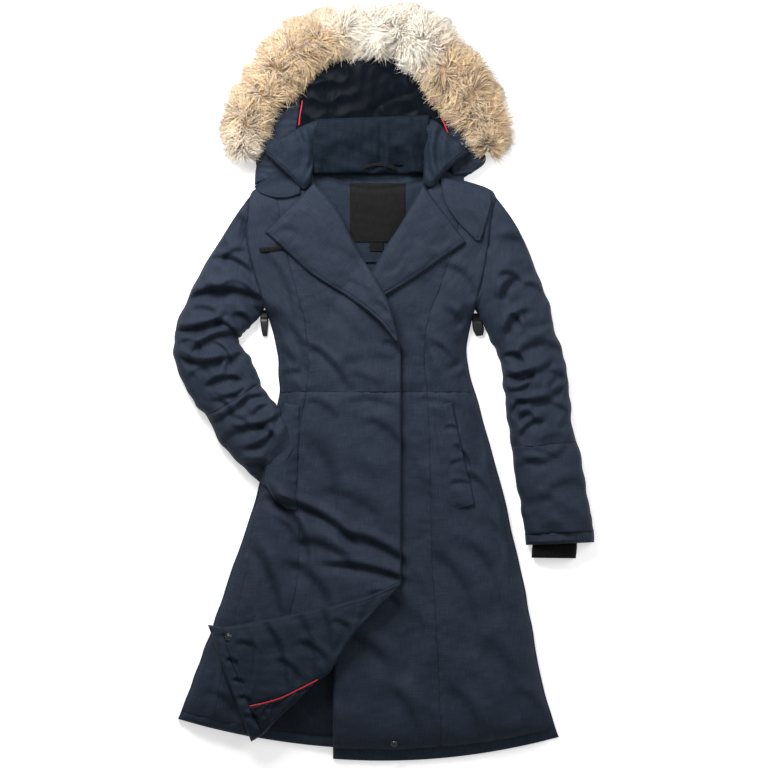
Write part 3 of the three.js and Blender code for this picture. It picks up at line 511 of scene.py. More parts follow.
# %% Material helpers
def linear(hex_colour):
    """sRGB hex to linear RGBA."""
    c = np.array([int(hex_colour[i:i + 2], 16) / 255 for i in (1, 3, 5)])
    c = np.where(c <= 0.04045, c / 12.92, ((c + 0.055) / 1.055) ** 2.4)
    return (*c, 1.0)


def node(tree, kind, settings=None, inputs=None, links=None):
    """Adds a shader node, sets its properties and inputs, and links other nodes' outputs to it."""
    made = tree.nodes.new(kind)
    for key, value in (settings or {}).items():
        setattr(made, key, value)
    for key, value in (inputs or {}).items():
        made.inputs[key].default_value = value
    for key, (source, output) in (links or {}).items():
        tree.links.new(source.outputs[output], made.inputs[key])
    return made


def surface(name, inputs):
    """A new material with its Principled shader set."""
    material = bpy.data.materials.new(name)
    material.use_nodes = True
    tree = material.node_tree
    shader = tree.nodes["Principled BSDF"]
    for key, value in inputs.items():
        shader.inputs[key].default_value = value
    return material, tree, shader


def ramp(tree, source, output, stops):
    """A colour ramp from (place, hex) stops."""
    made = node(tree, "ShaderNodeValToRGB", links={"Fac": (source, output)})
    points = made.color_ramp.elements
    while len(points) < len(stops):
        points.new(0.5)
    for point, (place, colour) in zip(points, stops):
        point.position = place
        point.color = linear(colour)
    return made


# %% [markdown]
# The shell is a matt polyester twill dyed in the yarn: navy warp and weft with paler grey-blue
# slubs, so it reads as a melange with faint streaks both ways. Real yarn is about 0.4 mm, too
# fine to show, so the streaks are drawn about 1 mm wide and 30 mm long. The facing, the collar's
# leaves and tab, the neck lining and the flap's hem are the same cloth. They get darker, less
# glossy copies of its colours as painted shade. The collar's stand gets the darkest copy, which
# is painted shade for the hollow round the neck.

# %% Shell cloth
def shell_cloth(name, dark, mid, light, gloss=0.2):
    """Yarn-dyed melange shell: two noises stretched along warp and weft, mixed into one ramp."""
    material, tree, shader = surface(name, {
        "Roughness": 0.76, "Sheen Weight": 0.03, "Sheen Roughness": 0.4, "Specular IOR Level": gloss,
    })
    shader.inputs["Sheen Tint"].default_value = linear("#8fa0bd")
    uv = node(tree, "ShaderNodeUVMap", {"uv_map": "cloth"})
    streaks = []
    for scale in ((900, 36, 1), (30, 900, 1)):
        place = node(tree, "ShaderNodeMapping", inputs={"Scale": scale}, links={"Vector": (uv, "UV")})
        yarn = {"Scale": 1.0, "Detail": 3.0, "Roughness": 0.6}
        streaks.append(node(tree, "ShaderNodeTexNoise", inputs=yarn, links={"Vector": (place, "Vector")}))
    warp, weft = streaks
    both = node(tree, "ShaderNodeMath", {"operation": "ADD"}, links={0: (warp, "Fac"), 1: (weft, "Fac")})
    half = node(tree, "ShaderNodeMath", {"operation": "MULTIPLY"}, {1: 0.5}, {0: (both, 0)})
    colour = ramp(tree, half, 0, [(0.36, dark), (0.5, mid), (0.66, light)])
    tree.links.new(colour.outputs["Color"], shader.inputs["Base Color"])
    on_cloth = {"Vector": (uv, "UV")}
    weave = node(tree, "ShaderNodeTexNoise", inputs={"Scale": 1400.0, "Detail": 2.0}, links=on_cloth)
    soft = {"Scale": 55.0, "Detail": 5.0, "Roughness": 0.55}
    rumple = node(tree, "ShaderNodeTexNoise", inputs=soft, links=on_cloth)
    fine = node(
        tree, "ShaderNodeBump", inputs={"Strength": 0.25, "Distance": 0.0004},
        links={"Height": (weave, "Fac")},
    )
    bump = node(
        tree, "ShaderNodeBump", inputs={"Strength": 0.45, "Distance": 0.0022},
        links={"Height": (rumple, "Fac"), "Normal": (fine, "Normal")},
    )
    tree.links.new(bump.outputs["Normal"], shader.inputs["Normal"])
    return material


SHELL = shell_cloth("yarn_dyed_polyester_shell", "#19212d", "#202836", "#283242")
# Darker, less glossy copies of the shell: painted shade for parts that lie in shadow, and deeper painted
# shade for the collar's stand.
SHELL_PAINTED_SHADE = shell_cloth("shell_cloth_painted_shade", "#161e29", "#1b2430", "#232d3c", gloss=0.15)
COLLAR_PAINTED_SHADE = shell_cloth("shell_cloth_painted_deep_shade", "#0e151d", "#121a24", "#1a232f", gloss=0.08)


# %% [markdown]
# The lining is a filament satin: smooth long floats give a soft, streaky sheen and deep darks in
# its puckers. The hood's quilted satin is darker and shinier. The label is a damask satin.

# %% Satin
def satin(name, dark, light, rough, gloss=0.12):
    """Filament satin: streaks along its long floats, a soft gloss and a fine rumple in the bump."""
    material, tree, shader = surface(name, {"Roughness": rough, "Specular IOR Level": gloss})
    uv = node(tree, "ShaderNodeUVMap", {"uv_map": "cloth"})
    place = node(tree, "ShaderNodeMapping", inputs={"Scale": (900, 60, 1)}, links={"Vector": (uv, "UV")})
    float_yarn = node(
        tree, "ShaderNodeTexNoise", inputs={"Scale": 1.0, "Detail": 2.0}, links={"Vector": (place, "Vector")},
    )
    colour = ramp(tree, float_yarn, "Fac", [(0.35, dark), (0.65, light)])
    tree.links.new(colour.outputs["Color"], shader.inputs["Base Color"])
    rumple = node(
        tree, "ShaderNodeTexNoise", inputs={"Scale": 45.0, "Detail": 2.0}, links={"Vector": (uv, "UV")},
    )
    bump = node(
        tree, "ShaderNodeBump", inputs={"Strength": 0.2, "Distance": 0.002},
        links={"Height": (rumple, "Fac")},
    )
    tree.links.new(bump.outputs["Normal"], shader.inputs["Normal"])
    return material


LINING = satin("navy_filament_satin", "#11161f", "#1a212c", 0.6)
HOOD_SATIN = satin("navy_quilted_hood_satin", "#06090e", "#0c1119", 0.45, gloss=0.03)
LABEL = satin("black_damask_satin", "#0c0c0d", "#131314", 0.7)
TAPE = satin("black_woven_tape", "#0c0d0f", "#141518", 0.75)
PIPING = satin("red_satin_piping", "#a32430", "#c93a48", 0.45)


# %% [markdown]
# The cuff is a 2x2 rib knit in black acrylic: its ribs are modelled, and the stitches between
# them are a fine wave in the bump. Snaps are gunmetal-plated brass, cord locks moulded nylon.

# %% Knit, metal and plastic
def rib_knit():
    """Black acrylic knit with a small looping bump."""
    material, tree, shader = surface("black_acrylic_rib", {"Roughness": 0.95, "Specular IOR Level": 0.2})
    uv = node(tree, "ShaderNodeUVMap", {"uv_map": "cloth"})
    loops = node(
        tree, "ShaderNodeTexWave", inputs={"Scale": 180.0, "Distortion": 2.0}, links={"Vector": (uv, "UV")},
    )
    colour = ramp(tree, loops, "Fac", [(0.1, "#070708"), (0.9, "#101113")])
    tree.links.new(colour.outputs["Color"], shader.inputs["Base Color"])
    bump = node(
        tree, "ShaderNodeBump", inputs={"Strength": 0.5, "Distance": 0.001}, links={"Height": (loops, "Fac")},
    )
    tree.links.new(bump.outputs["Normal"], shader.inputs["Normal"])
    return material


def hard(name, colour, metallic, rough):
    """A hard finish with faint uneven wear in its colour."""
    material, tree, shader = surface(name, {"Metallic": metallic, "Roughness": rough})
    place = node(tree, "ShaderNodeTexCoord")
    wear = node(
        tree, "ShaderNodeTexNoise", inputs={"Scale": 900.0, "Detail": 3.0},
        links={"Vector": (place, "Object")},
    )
    tone = ramp(tree, wear, "Fac", [(0.3, colour[0]), (0.7, colour[1])])
    tree.links.new(tone.outputs["Color"], shader.inputs["Base Color"])
    return material


RIB = rib_knit()
GUNMETAL = hard("gunmetal_plated_brass", ("#3a3b3e", "#5e6064"), 1.0, 0.34)
NYLON = hard("black_moulded_nylon", ("#101113", "#1a1b1e"), 0.0, 0.45)


# %% [markdown]
# ## The back
# The back lies flat on the table, so its underside is level. Only the parts round the front's
# openings show: the cloth inside the neck and the lining above the hem.

# %% Seams read on the level lines
LAP = 2.0  # each panel runs this far past its seam, so no gap opens where the two edges round over


def on_level(table):
    """A seam's x at a level: the level line meets the seam lower down, found by a few rounds of
    x = seam(level - swing(level, x))."""
    def read(level):
        x = smooth_read(table, 1, level)
        for _ in range(4):
            x = smooth_read(table, 1, level - swing(level, x))
        return x
    return read


right_princess_line = on_level(RIGHT_PRINCESS)
left_princess_line = on_level(LEFT_PRINCESS)
side_seam_line = on_level(RIGHT_SIDE_RIDGE)


def moved(line, by):
    """A line moved sideways."""
    return lambda level: line(level) + by


def ground(x, y, u=0, v=0):
    """The table: zero everywhere."""
    return np.zeros_like(x)


# %% Back panels
SEAM, EDGE = 2.6, 7  # width over which the faces close at a seam and at a free edge
back_rows = (
    ("back_bodice", 376, WAIST - LAP, (EDGE, SEAM, EDGE, EDGE), (0, 3, 0, 0)),
    ("back_skirt", WAIST + LAP, HEM + HEM_BAND - LAP, (SEAM, SEAM, EDGE, EDGE), (3, 2, 0, 0)),
    ("back_hem", HEM + HEM_BAND + LAP, HEM, (SEAM, EDGE, EDGE, EDGE), (2, 0, 0, 0)),
)
for name, upper, lower, rounding, pulls in back_rows:
    shape = slab(
        levels_plan(upper, lower, right_side, left_side), ground,
        lambda x, y, u, v: back_top(x, y) + 0.8 * rolling(x, y, 90, 11), rounding, pulls, step=9,
    )
    padded(name + "_cloth", name, shape, SHELL)


# %% [markdown]
# ## The fronts
# The left front lies on the back and its inner edge is hidden. The right front laps over it. Each
# is cut in a bodice and a skirt, joined at the waist, with a long seam from the armhole down.

# %% Left front
def left_low(x, y, u, v):
    """The left front's under face, 2 mm inside the back's top."""
    return np.maximum(0, back_top(x, y) - 2 + settle(x, y))


def left_high(x, y, u, v):
    """The left front's upper face, at least 2 mm over its under face."""
    return np.maximum(front_face(x, y), left_low(x, y, u, v) + 2)


left_hem_top = HEM - FRONT_HEM_DROP + HEM_BAND
bodice_levels = (376, WAIST - LAP)
left_skirt_levels = (WAIST + LAP, left_hem_top - LAP)
left_hem_levels = (left_hem_top + LAP, HEM - FRONT_HEM_DROP)
before_seam, after_seam = moved(left_princess_line, LAP), moved(left_princess_line, -LAP)
left_panels = (
    ("left_front_bodice", bodice_levels, (left_edge, before_seam), (EDGE, SEAM, EDGE, SEAM), (0, 3.5, 0, 3)),
    ("left_side_bodice", bodice_levels, (after_seam, left_side), (EDGE, SEAM, SEAM, EDGE), (0, 3.5, 3, 0)),
    (
        "left_front_skirt", left_skirt_levels, (left_edge, before_seam), (SEAM, SEAM, EDGE, SEAM),
        (3.5, 2.5, 0, 3),
    ),
    (
        "left_side_skirt", left_skirt_levels, (after_seam, left_side), (SEAM, SEAM, SEAM, EDGE),
        (3.5, 2.5, 3, 0),
    ),
    ("left_hem", left_hem_levels, (left_edge, left_side), (SEAM, EDGE, EDGE, EDGE), (4, 0, 0, 0)),
)
for i, (name, levels, lines, rounding, pulls) in enumerate(left_panels):
    shape = slab(levels_plan(*levels, *lines), left_low, left_high, rounding, pulls, seed=20 + i)
    padded(name + "_cloth", name, shape, SHELL)


# %% Right front
def wrap_low(x, y, u=0, v=0):
    """The right front's under face: 2 mm inside the back's top, then inside the left front's."""
    over = ease((x - left_edge(np.minimum(376, y)) + 35) / 40)
    return back_top(x, y) - 2 + over * (front_top(x, y) - back_top(x, y))


def wrap_high(x, y, u=0, v=0):
    """The right front's upper face."""
    return wrap_face(x, y)


def outer_line(level):
    """The right side panel's outer edge: the coat's side, then the ridge where the back shows."""
    return np.maximum(right_side(level), side_seam_line(level) - LAP)


skirt_levels = (WAIST + LAP, HEM + HEM_BAND - LAP)
back_strip_levels = (-187, HEM + HEM_BAND - LAP)
hem_levels = (HEM + HEM_BAND + LAP, HEM)
before_seam, after_seam = moved(right_princess_line, LAP), moved(right_princess_line, -LAP)
FREE = 5  # rounding of the free front edge
EDGE_STITCH = (7, 0.9, (3,))
right_panels = (
    (
        "right_side_bodice", bodice_levels, (right_side, before_seam), (EDGE, SEAM, EDGE, SEAM),
        (0, 3.5, 0, 3), None,
    ),
    (
        "right_front_bodice", bodice_levels, (after_seam, right_edge), (EDGE, SEAM, SEAM, FREE),
        (0, 3.5, 3, 0), EDGE_STITCH,
    ),
    (
        "right_side_skirt", skirt_levels, (outer_line, before_seam), (SEAM, SEAM, SEAM, SEAM),
        (3.5, 2.5, 3, 3), None,
    ),
    (
        "right_front_skirt", skirt_levels, (after_seam, fold_edge), (SEAM, SEAM, SEAM, FREE),
        (3.5, 2.5, 3, 0), EDGE_STITCH,
    ),
    (
        "right_back_skirt", back_strip_levels, (right_side, moved(side_seam_line, LAP)),
        (SEAM, SEAM, EDGE, SEAM), (0, 2.5, 0, 3), None,
    ),
    ("right_hem", hem_levels, (right_side, fold_edge), (SEAM, EDGE, EDGE, FREE), (4, 0, 0, 0), None),
)
for i, (name, levels, lines, rounding, pulls, stitch) in enumerate(right_panels):
    plan = levels_plan(*levels, *lines)
    shape = slab(plan, wrap_low, wrap_high, rounding, pulls, seed=30 + i, stitch=stitch)
    padded(name + "_cloth", name, shape, SHELL)


# %% [markdown]
# ## The turned-back corner
# The lower corner of the right front is folded over towards the side. Its facing is the shell
# cloth, its corner is quilted lining, and a red piping marks where they meet. The facing's free
# edge is rolled and topstitched.

# %% Flap pieces
def flap_high(x, y, u, v):
    """The right front's top, plus the corner's loft, fuller in its middle, plus its pleats."""
    pleats = 1.2 * creases(x, y, FLAP_CREASES) + 1.6 * rolling(x, y, 60, 41) + 0.7 * rolling(x, y, 24, 42)
    return wrap_top(x, y) + FLAP_LOFT * (0.6 + 0.4 * dome(np.minimum(v, 1 - v), 0.2)) + pleats


def flap_low(x, y, u, v):
    """The corner's under face, 3 mm inside the right front's top."""
    return wrap_top(x, y) - 3


FLAP_CREASES = [
    (-54, -394, -84, -484, 6, 9, 3.5), (-154, -418, -128, -524, 8, 11, 4),
    (-210, -438, -176, -544, 9, 9, 4.5),
    (-236, -466, -252, -566, 6, 8, 3.5), (-112, -408, -98, -474, 5, 8, 3), (-18, -388, -36, -426, 3, 7, 3),
    (-152, -562, -140, -548, 2, 5, 2), (-198, -608, -190, -576, 3, 6, 3), (-228, -616, -232, -590, 2, 6, 3),
    (-150, -470, -104, -500, 6, 9, 4), (-190, -500, -150, -534, 6, 8, 3.5), (-90, -430, -60, -446, 4, 8, 3),
    (-262, -470, -226, -480, 4, 7, 3), (-290, -456, -276, -464, 2, 6, 3), (-280, -500, -262, -506, 2, 6, 3.5),
    (-268, -536, -250, -540, 2, 5, 3), (-256, -566, -238, -572, 2, 5, 3), (-246, -600, -226, -604, 2, 5, 3),
    (-166, -590, -150, -566, 3, 6, 3), (-214, -600, -206, -584, 2, 5, 2.5), (-130, -548, -118, -540, 2, 5, 2),
]
FACING = [
    (31, -357, 33, -364), (-21, -382, -41, -441), (-56, -392, -72, -482), (-93, -402, -96, -522),
    (-134, -411, -130, -544), (-175, -420, -166, -562), (-215, -428, -204, -576),
    (-250, -435, -238, -586), (-293, -443, -242, -586),
]
CORNER_LINING = [
    (-94, -518, -98, -520), (-116, -532, -124, -544), (-149, -549, -150, -571),
    (-180, -564, -180, -598), (-214, -577, -202, -621), (-241, -582, -216, -636),
]
FLAP_HEM = [
    (-288, -441, -315, -438), (-272, -496, -296, -488), (-255, -540, -280, -534),
    (-238, -584, -262, -581), (-214, -634, -237, -648),
]
shape = slab(
    ruled_plan(FACING), flap_low, flap_high, (6, SEAM, 6, SEAM), (0, 1.5, 0, 2), step=4, seed=51,
    stitch=(9, 1.2, (2,)),
)
# The facing's colour is painted shade: the darker copy of the shell.
padded("flap_facing_cloth", "flap_facing", shape, SHELL_PAINTED_SHADE)
shape = slab(
    ruled_plan(CORNER_LINING), flap_low, flap_high, (4, SEAM, SEAM, 6), (0, 1.5, 2, 0), step=2.6, seed=52,
)
padded("flap_lining_cloth", "flap_lining", shape, LINING)
shape = slab(
    ruled_plan(FLAP_HEM), flap_low, flap_high, (5, 5, SEAM, 6), (0, 0, 1.5, 0), step=2.6, seed=53,
    stitch=(6, 0.8, (2,)),
)
# The flap's hem also carries painted shade: the darker copy of the shell.
padded("flap_hem_cloth", "flap_hem", shape, SHELL_PAINTED_SHADE)


# %% [markdown]
# ## Lapels
# Each lapel is the front turned outwards along its roll line, a soft pad with a stitched edge.

# %% Lapels
def lapel_high(face):
    """A lapel on a front's face: face + loft (0.5 + 0.5 dome from its edge) + hills + creases."""
    def high(x, y, u, v):
        edge = np.minimum(np.minimum(v, 1 - v), np.minimum(u * 2, (1 - u) * 2))
        puff = 0.9 * rolling(x, y, 70, 61) + 0.45 * rolling(x, y, 28, 62)
        return face(x, y) + LAPEL_LOFT * (0.5 + 0.5 * dome(edge, 0.25)) + puff + creases(x, y, LAPEL_CREASES)
    return high


LAPEL_CREASES = [
    (-150, 300, -116, 250, 8, 14, 1.5), (-90, 240, -40, 188, 8, 13, 1.6), (-62, 178, -30, 160, 3, 8, 2),
    (-194, 268, -150, 262, 4, 9, 1.6), (-14, 138, 8, 120, 3, 7, 2), (84, 290, 58, 248, 8, 14, 1.5),
    (114, 250, 78, 244, 5, 9, 1.6), (32, 216, 4, 194, 5, 8, 2), (54, 202, 38, 232, 5, 9, 1.4),
]
RIGHT_LAPEL = [
    (-211, 266, -124, 355), (-191, 248, -94, 324), (-166, 225, -72, 290), (-133, 194, -52, 247),
    (-95, 169, -27, 205), (-61, 148, -9, 178), (-11, 108, 14, 131), (25, 65, 29, 72),
]
LEFT_LAPEL = [
    (149, 248, 72, 351), (121, 229, 58, 326), (97, 212, 41, 297), (72, 194, 23, 268),
    (45, 176, 5, 241), (16, 158, -16, 203), (-5, 146, -31, 178),
]
shape = slab(
    ruled_plan(LEFT_LAPEL), lambda x, y, u, v: front_top(x, y) - 3, lapel_high(front_face),
    (6, 4, 6, 6), step=3.8, seed=63, stitch=(7, 1.7, (0, 2)),
)
padded("left_lapel_cloth", "left_lapel", shape, SHELL)


def right_lapel_high(x, y, u, v):
    """The right lapel stands up to 8 mm higher towards its lower tip, where it rolls over."""
    tip = 8 * ease((x + 60) / 50) * ease((190 - y) / 40)
    return lapel_high(wrap_face)(x, y, u, v) + tip


shape = slab(
    ruled_plan(RIGHT_LAPEL), lambda x, y, u, v: wrap_top(x, y) - 3, right_lapel_high,
    (6, 4, 6, 6), step=3.8, seed=64, stitch=(7, 1.7, (0, 2)),
)
padded("right_lapel_cloth", "right_lapel", shape, SHELL)


# %% [markdown]
# ## Sleeves
# A sleeve is a filled tube, pressed flat where it lies. Its head is blended onto the armhole
# line, so the seam runs true. The upper half is cut at the elbow and carries the deep creases of
# a bent arm.

# %% Sleeve form
UNDER_LOFT, TOP_LOFT = 22, 28
RIGHT_SLEEVE = [
    (-224, 350, -204, 141), (-275, 283, -219, 118), (-311, 225, -236, 101), (-342, 167, -247, 90),
    (-367, 110, -256, 81), (-379, 74, -258, 72), (-373, 36, -250, 56), (-355, -9, -236, 34),
    (-337, -41, -223, 7), (-317, -70, -214, -13), (-290, -112, -196, -38), (-257, -149, -184, -59),
    (-229, -175, -171, -85), (-200, -196, -158, -118),
]
LEFT_SLEEVE = [
    (196, 346, 160, 150), (245, 279, 163, 136), (270, 211, 175, 112), (292, 155, 189, 83),
    (308, 106, 203, 52), (322, 52, 214, 16), (331, 5, 220, -25), (338, -49, 222, -67),
    (349, -108, 230, -119), (361, -171, 241, -183), (371, -227, 249, -234), (379, -270, 256, -276),
]


def sleeve_plan(sections, armhole):
    """The ruled plan with its head moved onto the armhole: P(u, v) + w(u) (A(v) - P(0, v)), where
    w falls smoothly from 1 to 0 over the first sixth. Its two edges bulge in and out a little."""
    plain = ruled_plan(sections)

    def plan(u, v):
        x, y = plain(u, v)
        x0, y0 = plain(np.zeros_like(u), v)
        level = 350 + (UNDERARM - 4 - 350) * v
        hold = 1 - ease(u / 0.17)
        ax, ay = plain(u, np.zeros_like(u))
        bx, by = plain(u, np.ones_like(u))
        width = np.hypot(bx - ax, by - ay) + 1e-9
        free = ease((u - 0.12) / 0.1) * ease((1 - u) / 0.08)
        bump = 3.2 * rolling(u * 620, v * 50, 50, 77) * (2 * v - 1) * free
        x, y = x + bump * (bx - ax) / width, y + bump * (by - ay) / width
        return x + hold * (armhole(level) - x0), y + hold * (level - y0)
    return plan


def on_body(x, y):
    """Height of the body under a sleeve: the front's top inside the coat's side, 0 outside."""
    level = y + swing(y, x)
    inside = np.minimum(x - right_side(level), left_side(level) - x)
    return ease((inside + 35) / 45) * front_top(x, y) * ease((90 - y) / 60)


def round_arm(v):
    """A pressed tube across: 0.32 at its edges, and a quarter round up to 1 in its middle."""
    return 0.32 + 0.68 * dome(np.minimum(v, 1 - v), 0.5)


def into_pocket(u):
    """Share of loft along the right sleeve: it thins to 0.28 where it goes into the pocket."""
    return 1 - 0.72 * ease((u - 0.86) / 0.12)


def sleeve_middle(fade):
    """Where a sleeve's two halves meet, blended to the armhole at the head."""
    def middle(x, y, u, v):
        own = on_body(x, y) + UNDER_LOFT * round_arm(v) * fade(u)
        return own + (1 - ease(u / 0.14)) * (0.45 * front_top(x, y) - own)
    return middle


def sleeve_high(fade, table, seed):
    """A sleeve's upper face: body + loft * round_arm * fade, blended to the armhole at the head,
    plus hills and the creases of its table."""
    def high(x, y, u, v):
        own = on_body(x, y) + (UNDER_LOFT + TOP_LOFT) * round_arm(v) * fade(u)
        body = front_top(x, y) + 1
        own = own + (1 - ease(u / 0.14)) * (body - own)
        soft = 2.2 * rolling(x, y, 84, seed) + 1.2 * rolling(x, y, 36, seed + 1)
        soft = soft + 0.4 * rolling(x, y, 17, seed + 2)
        folds = 1.5 * creases(x, y, table) + 2.0 * crumple(x, y, 74, seed + 3)
        return own + (folds + soft) * np.minimum(1, round_arm(v) * fade(u) * 1.2)
    return high


def part_of(plan, start, end):
    """The stretch of a plan from u = start(v) to u = end(v), as a plan of its own."""
    def piece(u, v):
        a, b = start(v), end(v)
        return plan(a + (b - a) * u, v)
    return piece


def on_part(height, start, end):
    """A height of the whole plan, read on the part between start(v) and end(v)."""
    return lambda x, y, u, v: height(x, y, start(v) + (end(v) - start(v)) * u, v)


def always(value):
    """A constant as a function of v."""
    return lambda v: value + 0 * v


# %% Right sleeve
def right_elbow(v):
    """Where the elbow seam crosses the right sleeve, as a share of its length."""
    return 0.678 - 0.03 * v + 0.05 * v * (1 - v)


right_arm = sleeve_plan(RIGHT_SLEEVE, lambda level: right_side(level) + 3)
right_top = sleeve_high(into_pocket, RIGHT_ARM_CREASES, 71)
right_mid = sleeve_middle(into_pocket)
shape = slab(right_arm, lambda x, y, u, v: on_body(x, y) * 0.9, right_mid, (SEAM, 4, 8, 8), step=9, seed=74)
padded("right_under_sleeve_cloth", "right_under_sleeve", shape, SHELL)


ELBOW_LAP = 0.004  # the two parts run past the elbow seam by this share of the sleeve's length


def elbow_before(v):
    """End of the upper part of the right sleeve."""
    return right_elbow(v) + ELBOW_LAP


def elbow_after(v):
    """Start of the right forearm."""
    return right_elbow(v) - ELBOW_LAP


shape = slab(
    part_of(right_arm, always(0), elbow_before), on_part(right_mid, always(0), elbow_before),
    on_part(right_top, always(0), elbow_before), (SEAM, SEAM, 9, 9), (3.5, 3, 0, 0), step=4.2, seed=75,
)
padded("right_upper_sleeve_cloth", "right_upper_sleeve", shape, SHELL)
shape = slab(
    part_of(right_arm, elbow_after, always(1)), on_part(right_mid, elbow_after, always(1)),
    on_part(right_top, elbow_after, always(1)), (SEAM, 4, 9, 9), (3, 0, 0, 0), step=4.2, seed=76,
)
padded("right_forearm_cloth", "right_forearm", shape, SHELL)

# %% Left sleeve
left_arm = sleeve_plan(LEFT_SLEEVE, lambda level: left_side(level) - 3)
left_top = sleeve_high(always(1), LEFT_ARM_CREASES, 81)
left_mid = sleeve_middle(always(1))
LEFT_ELBOW = 0.728
shape = slab(left_arm, ground, left_mid, (SEAM, 4, 8, 8), step=9, seed=84)
padded("left_under_sleeve_cloth", "left_under_sleeve", shape, SHELL)
before, after = always(LEFT_ELBOW + ELBOW_LAP), always(LEFT_ELBOW - ELBOW_LAP)
shape = slab(
    part_of(left_arm, always(0), before), on_part(left_mid, always(0), before),
    on_part(left_top, always(0), before), (SEAM, SEAM, 9, 9), (3.5, 3, 0, 0), step=4.2, seed=85,
)
padded("left_upper_sleeve_cloth", "left_upper_sleeve", shape, SHELL)
shape = slab(
    part_of(left_arm, after, always(1)), on_part(left_mid, after, always(1)),
    on_part(left_top, after, always(1)), (SEAM, SEAM, 9, 9), (3, 3, 0, 0), step=4.2, seed=86,
)
padded("left_forearm_cloth", "left_forearm", shape, SHELL)

# %% [markdown]
# The left sleeve ends in a narrow turned band, and a black rib cuff shows below it.

# %% Cuff and rib
LEFT_CUFF = [(379.2, -267, 255, -273), (380, -281, 256, -286), (380, -290, 257, -295)]
LEFT_RIB = [(344, -252, 273, -256), (348, -276, 271, -280), (349, -297, 268, -300), (347, -319, 267, -318)]


def cuff_high(x, y, u, v):
    """The turned band's upper face: 0.86 of the sleeve's loft, with small puckers."""
    return (UNDER_LOFT + TOP_LOFT) * 0.86 * round_arm(v) + 0.7 * rolling(x, y, 18, 90)


shape = slab(ruled_plan(LEFT_CUFF), ground, cuff_high, (SEAM, 7, 9, 9), (2.5, 0, 0, 0), step=2.5, seed=91)
padded("left_cuff_cloth", "left_cuff", shape, SHELL)


def rib_high(x, y, u, v):
    """A flat tube of 17 ribs: 12 + 12 dome + 0.9 cos(2 pi 17 v)."""
    ribs = 0.9 * np.cos(TAU * v * 17) * ease(u * 3)
    return 12 + 12 * dome(np.minimum(v, 1 - v), 0.5) + ribs




def rib_low(x, y, u, v):
    """The rib rises 8 mm where it goes into the sleeve."""
    return 8 * ease((y + 300) / 40)


shape = slab(ruled_plan(LEFT_RIB), rib_low, rib_high, (3, 5, 6, 6), step=1.3, seed=92)
padded("left_rib_cuff_knit", "left_rib_cuff", shape, RIB)

# %% [markdown]
# ## Pockets
# The right sleeve's end goes into the right pocket, which stands open over the hand's place. The
# left pocket is only a padded welt.

# %% Pockets
RIGHT_POCKET = [
    (-176, -40, -149, -44), (-193, -85, -150, -85), (-209, -133, -152, -133), (-211, -175, -154, -178),
    (-196, -209, -155, -214), (-172, -229, -155, -231),
]
LEFT_POCKET = [
    (92, -45, 124, -38), (95, -88, 133, -83), (103, -151, 148, -151), (113, -211, 162, -209),
    (133, -232, 164, -222),
]


def on_front(x, y, u, v):
    """The under face of a piece that lies on a front, 3 mm inside it."""
    return front_top(x, y) - 3


def pocket_high(x, y, u, v):
    """The open pocket stands up to 22 mm over the hand: front + 4 + 22 (1 - v) sin, with hills."""
    stand = 22 * (1 - v) * np.sin(np.pi * (0.15 + 0.7 * u))
    return front_face(x, y) + 4 + stand + 0.8 * rolling(x, y, 40, 95)


shape = slab(
    ruled_plan(RIGHT_POCKET), on_front, pocket_high, (5, 5, 6, SEAM), (0, 0, 0, 3), step=3, seed=96,
    stitch=(6, 0.8, (2,)),
)
padded("right_pocket_cloth", "right_pocket", shape, SHELL)
WELT_CREASES = [
    (126, -118, 150, -124, 3, 5, 3), (122, -150, 154, -146, 4, 6, 3), (124, -184, 158, -188, 4, 6, 3),
    (112, -84, 136, -88, 3, 5, 2.2),
]


def welt_high(x, y, u, v):
    """The welt rises 7 mm from its sewn side to its free edge, with small creases."""
    return front_face(x, y) + 0.2 + 7 * ease(v / 0.75) + creases(x, y, WELT_CREASES)


shape = slab(
    ruled_plan(LEFT_POCKET), on_front, welt_high, (4, 4, 1, 4), step=2.4, seed=97, stitch=(7, 1.2, (3,)),
)
padded("left_pocket_welt_cloth", "left_pocket_welt", shape, SHELL)


# %% [markdown]
# ## The hood
# The hood is spread behind the collar. Its shell lies on the table, its quilted satin lining faces
# up, and a band of shell cloth runs down each side of the face opening. The lining is drawn
# together in small puckers that run out from the neck.

# %% Hood
HOOD = [
    (-216, 358, 134, 358), (-229, 392, 184, 394), (-222, 424, 174, 424), (-216, 450, 172, 450),
    (-208, 476, 156, 476), (-190, 510, 122, 510), (-158, 545, 88, 545), (-122, 574, 58, 574),
    (-80, 600, 30, 600),
]
HOOD_LINING = [
    (-172, 384, 128, 384), (-165, 420, 122, 420), (-157, 456, 118, 452), (-152, 484, 110, 476),
    (-150, 514, 96, 506), (-140, 536, 74, 534), (-116, 562, 50, 564), (-78, 588, 26, 588),
]
BAND_RIGHT = [
    (-231, 352, -176, 368), (-229, 380, -166, 388), (-224, 408, -161, 412), (-216, 446, -153, 450),
    (-202, 480, -147, 484), (-184, 508, -145, 512),
]
BAND_LEFT = [
    (122, 366, 158, 372), (118, 400, 184, 394), (114, 430, 177, 424), (110, 450, 170, 448),
    (104, 474, 152, 474),
]


def hood_high(x, y, u, v):
    """The hood shell's upper face: 15 mm in its middle, half of that at its edges."""
    edge = np.minimum(np.minimum(v, 1 - v), np.minimum((1 - u) * 1.5, u * 2))
    return 15 * (0.5 + 0.5 * dome(edge, 0.2)) + 0.8 * rolling(x, y, 50, 101)


